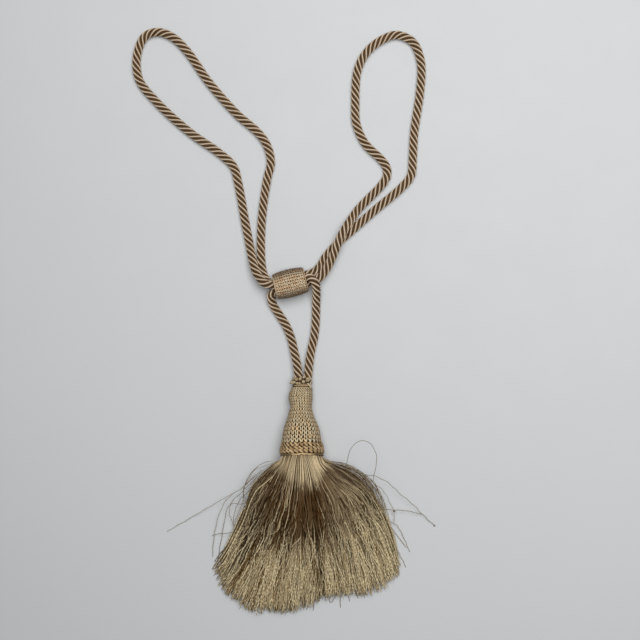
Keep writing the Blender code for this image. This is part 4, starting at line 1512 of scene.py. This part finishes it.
# Threads lying on the fringe's face: x, y, and how far above its surface.
FACE_THREADS = (
    ((-11.6, 23.0, 0.6), (-11.6, 20.5, 1.4), (-11.8, 18.4, 1.2), (-12.6, 15.4, 0.3)),
    ((-17.8, 3.8, 0.4), (-18.2, 0.2, 1.3), (-19.4, -3.2, 1.6), (-23.0, -6.5, 1.3), (-27.3, -9.2, 0.5)),
    ((-0.8, -9.8, 0.4), (-2.6, -12.8, 1.3), (-5.8, -15.8, 1.3), (-9.4, -19.6, 0.4)),
    ((-32.2, -5.8, 0.4), (-40.8, -7.2, 1.3), (-50.0, -8.2, 1.0)),
)
STRAY_RADIUS = 0.22
# small knots in the strays: place and size
STRAY_KNOTS = (((79.0, 8.5, 6.4), 0.75), ((113.8, -4.6, 1.2), 0.6))


def make_strays():
    rng = np.random.default_rng(7)
    parts = []
    for kind, table in (("free", STRAY_THREADS), ("face", FACE_THREADS)):
        for thread in table:
            line = smooth_line(thread, 10)
            if kind == "face":
                line[:, 2] += skirt_top(line[:, 0], line[:, 1])
            long = lengths_along(line)[-1]
            line = evenly(line, max(8, int(long / 1.8)))
            walked = lengths_along(line)
            for axis, size in ((0, 0.22), (1, 0.22), (2, 0.15)):
                ends = smoothstep(walked / 6) * smoothstep((long - walked) / 6)
                line[:, axis] += size * ends * np.sin(
                    2 * np.pi * walked / rng.uniform(9, 15) + rng.uniform(0, 6.3)
                )
            line[:, 2] = np.maximum(line[:, 2], 0.3)
            t = walked / walked[-1]
            parts.append(
                tubes(
                    line[None],
                    STRAY_RADIUS * (1 - 0.25 * smoothstep((t - 0.95) / 0.05))[None] * rng.uniform(0.9, 1.15),
                    sides=5,
                    tone=[rng.uniform(0.3, 0.8) if kind == "free" else 1.0],
                    share=t[None] if kind == "free" else 0.3 + 0 * t[None],
                    brown=[0.35 if kind == "free" else 0.0],
                    grey=[0.45 if kind == "free" else 0.0],
                    deep=[0.0],
                )
            )
    for place, size in STRAY_KNOTS:
        s = np.linspace(-1, 1, 7)
        line = np.array(place) + np.stack([s * size * 1.3, -0.4 * s * size, 0 * s], axis=-1)
        parts.append(
            tubes(
                line[None], size * (0.25 + 0.75 * np.sqrt(np.maximum(0, 1 - s**2)))[None], sides=8,
                tone=[0.4], share=[0.5], brown=[0.5], grey=[0.3], deep=[0.0],
            )
        )
    obj = piece("stray_threads", parts, [fringe_material("stray_thread", stray=True)], bake=strip_map(parts))
    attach(obj, "root")
    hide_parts("tassel_skirt")
    return obj


# ---- all of it --------------------------------------------------------------------------

make_camera()
rope, rope_line, rope_length = make_rope()
[c * MM for c in LEFT_STRAND[0]]
make_room()
make_bead()
make_head()
make_band()
make_binding()
make_fringe()
make_strays()

bpy.context.view_layer.update()
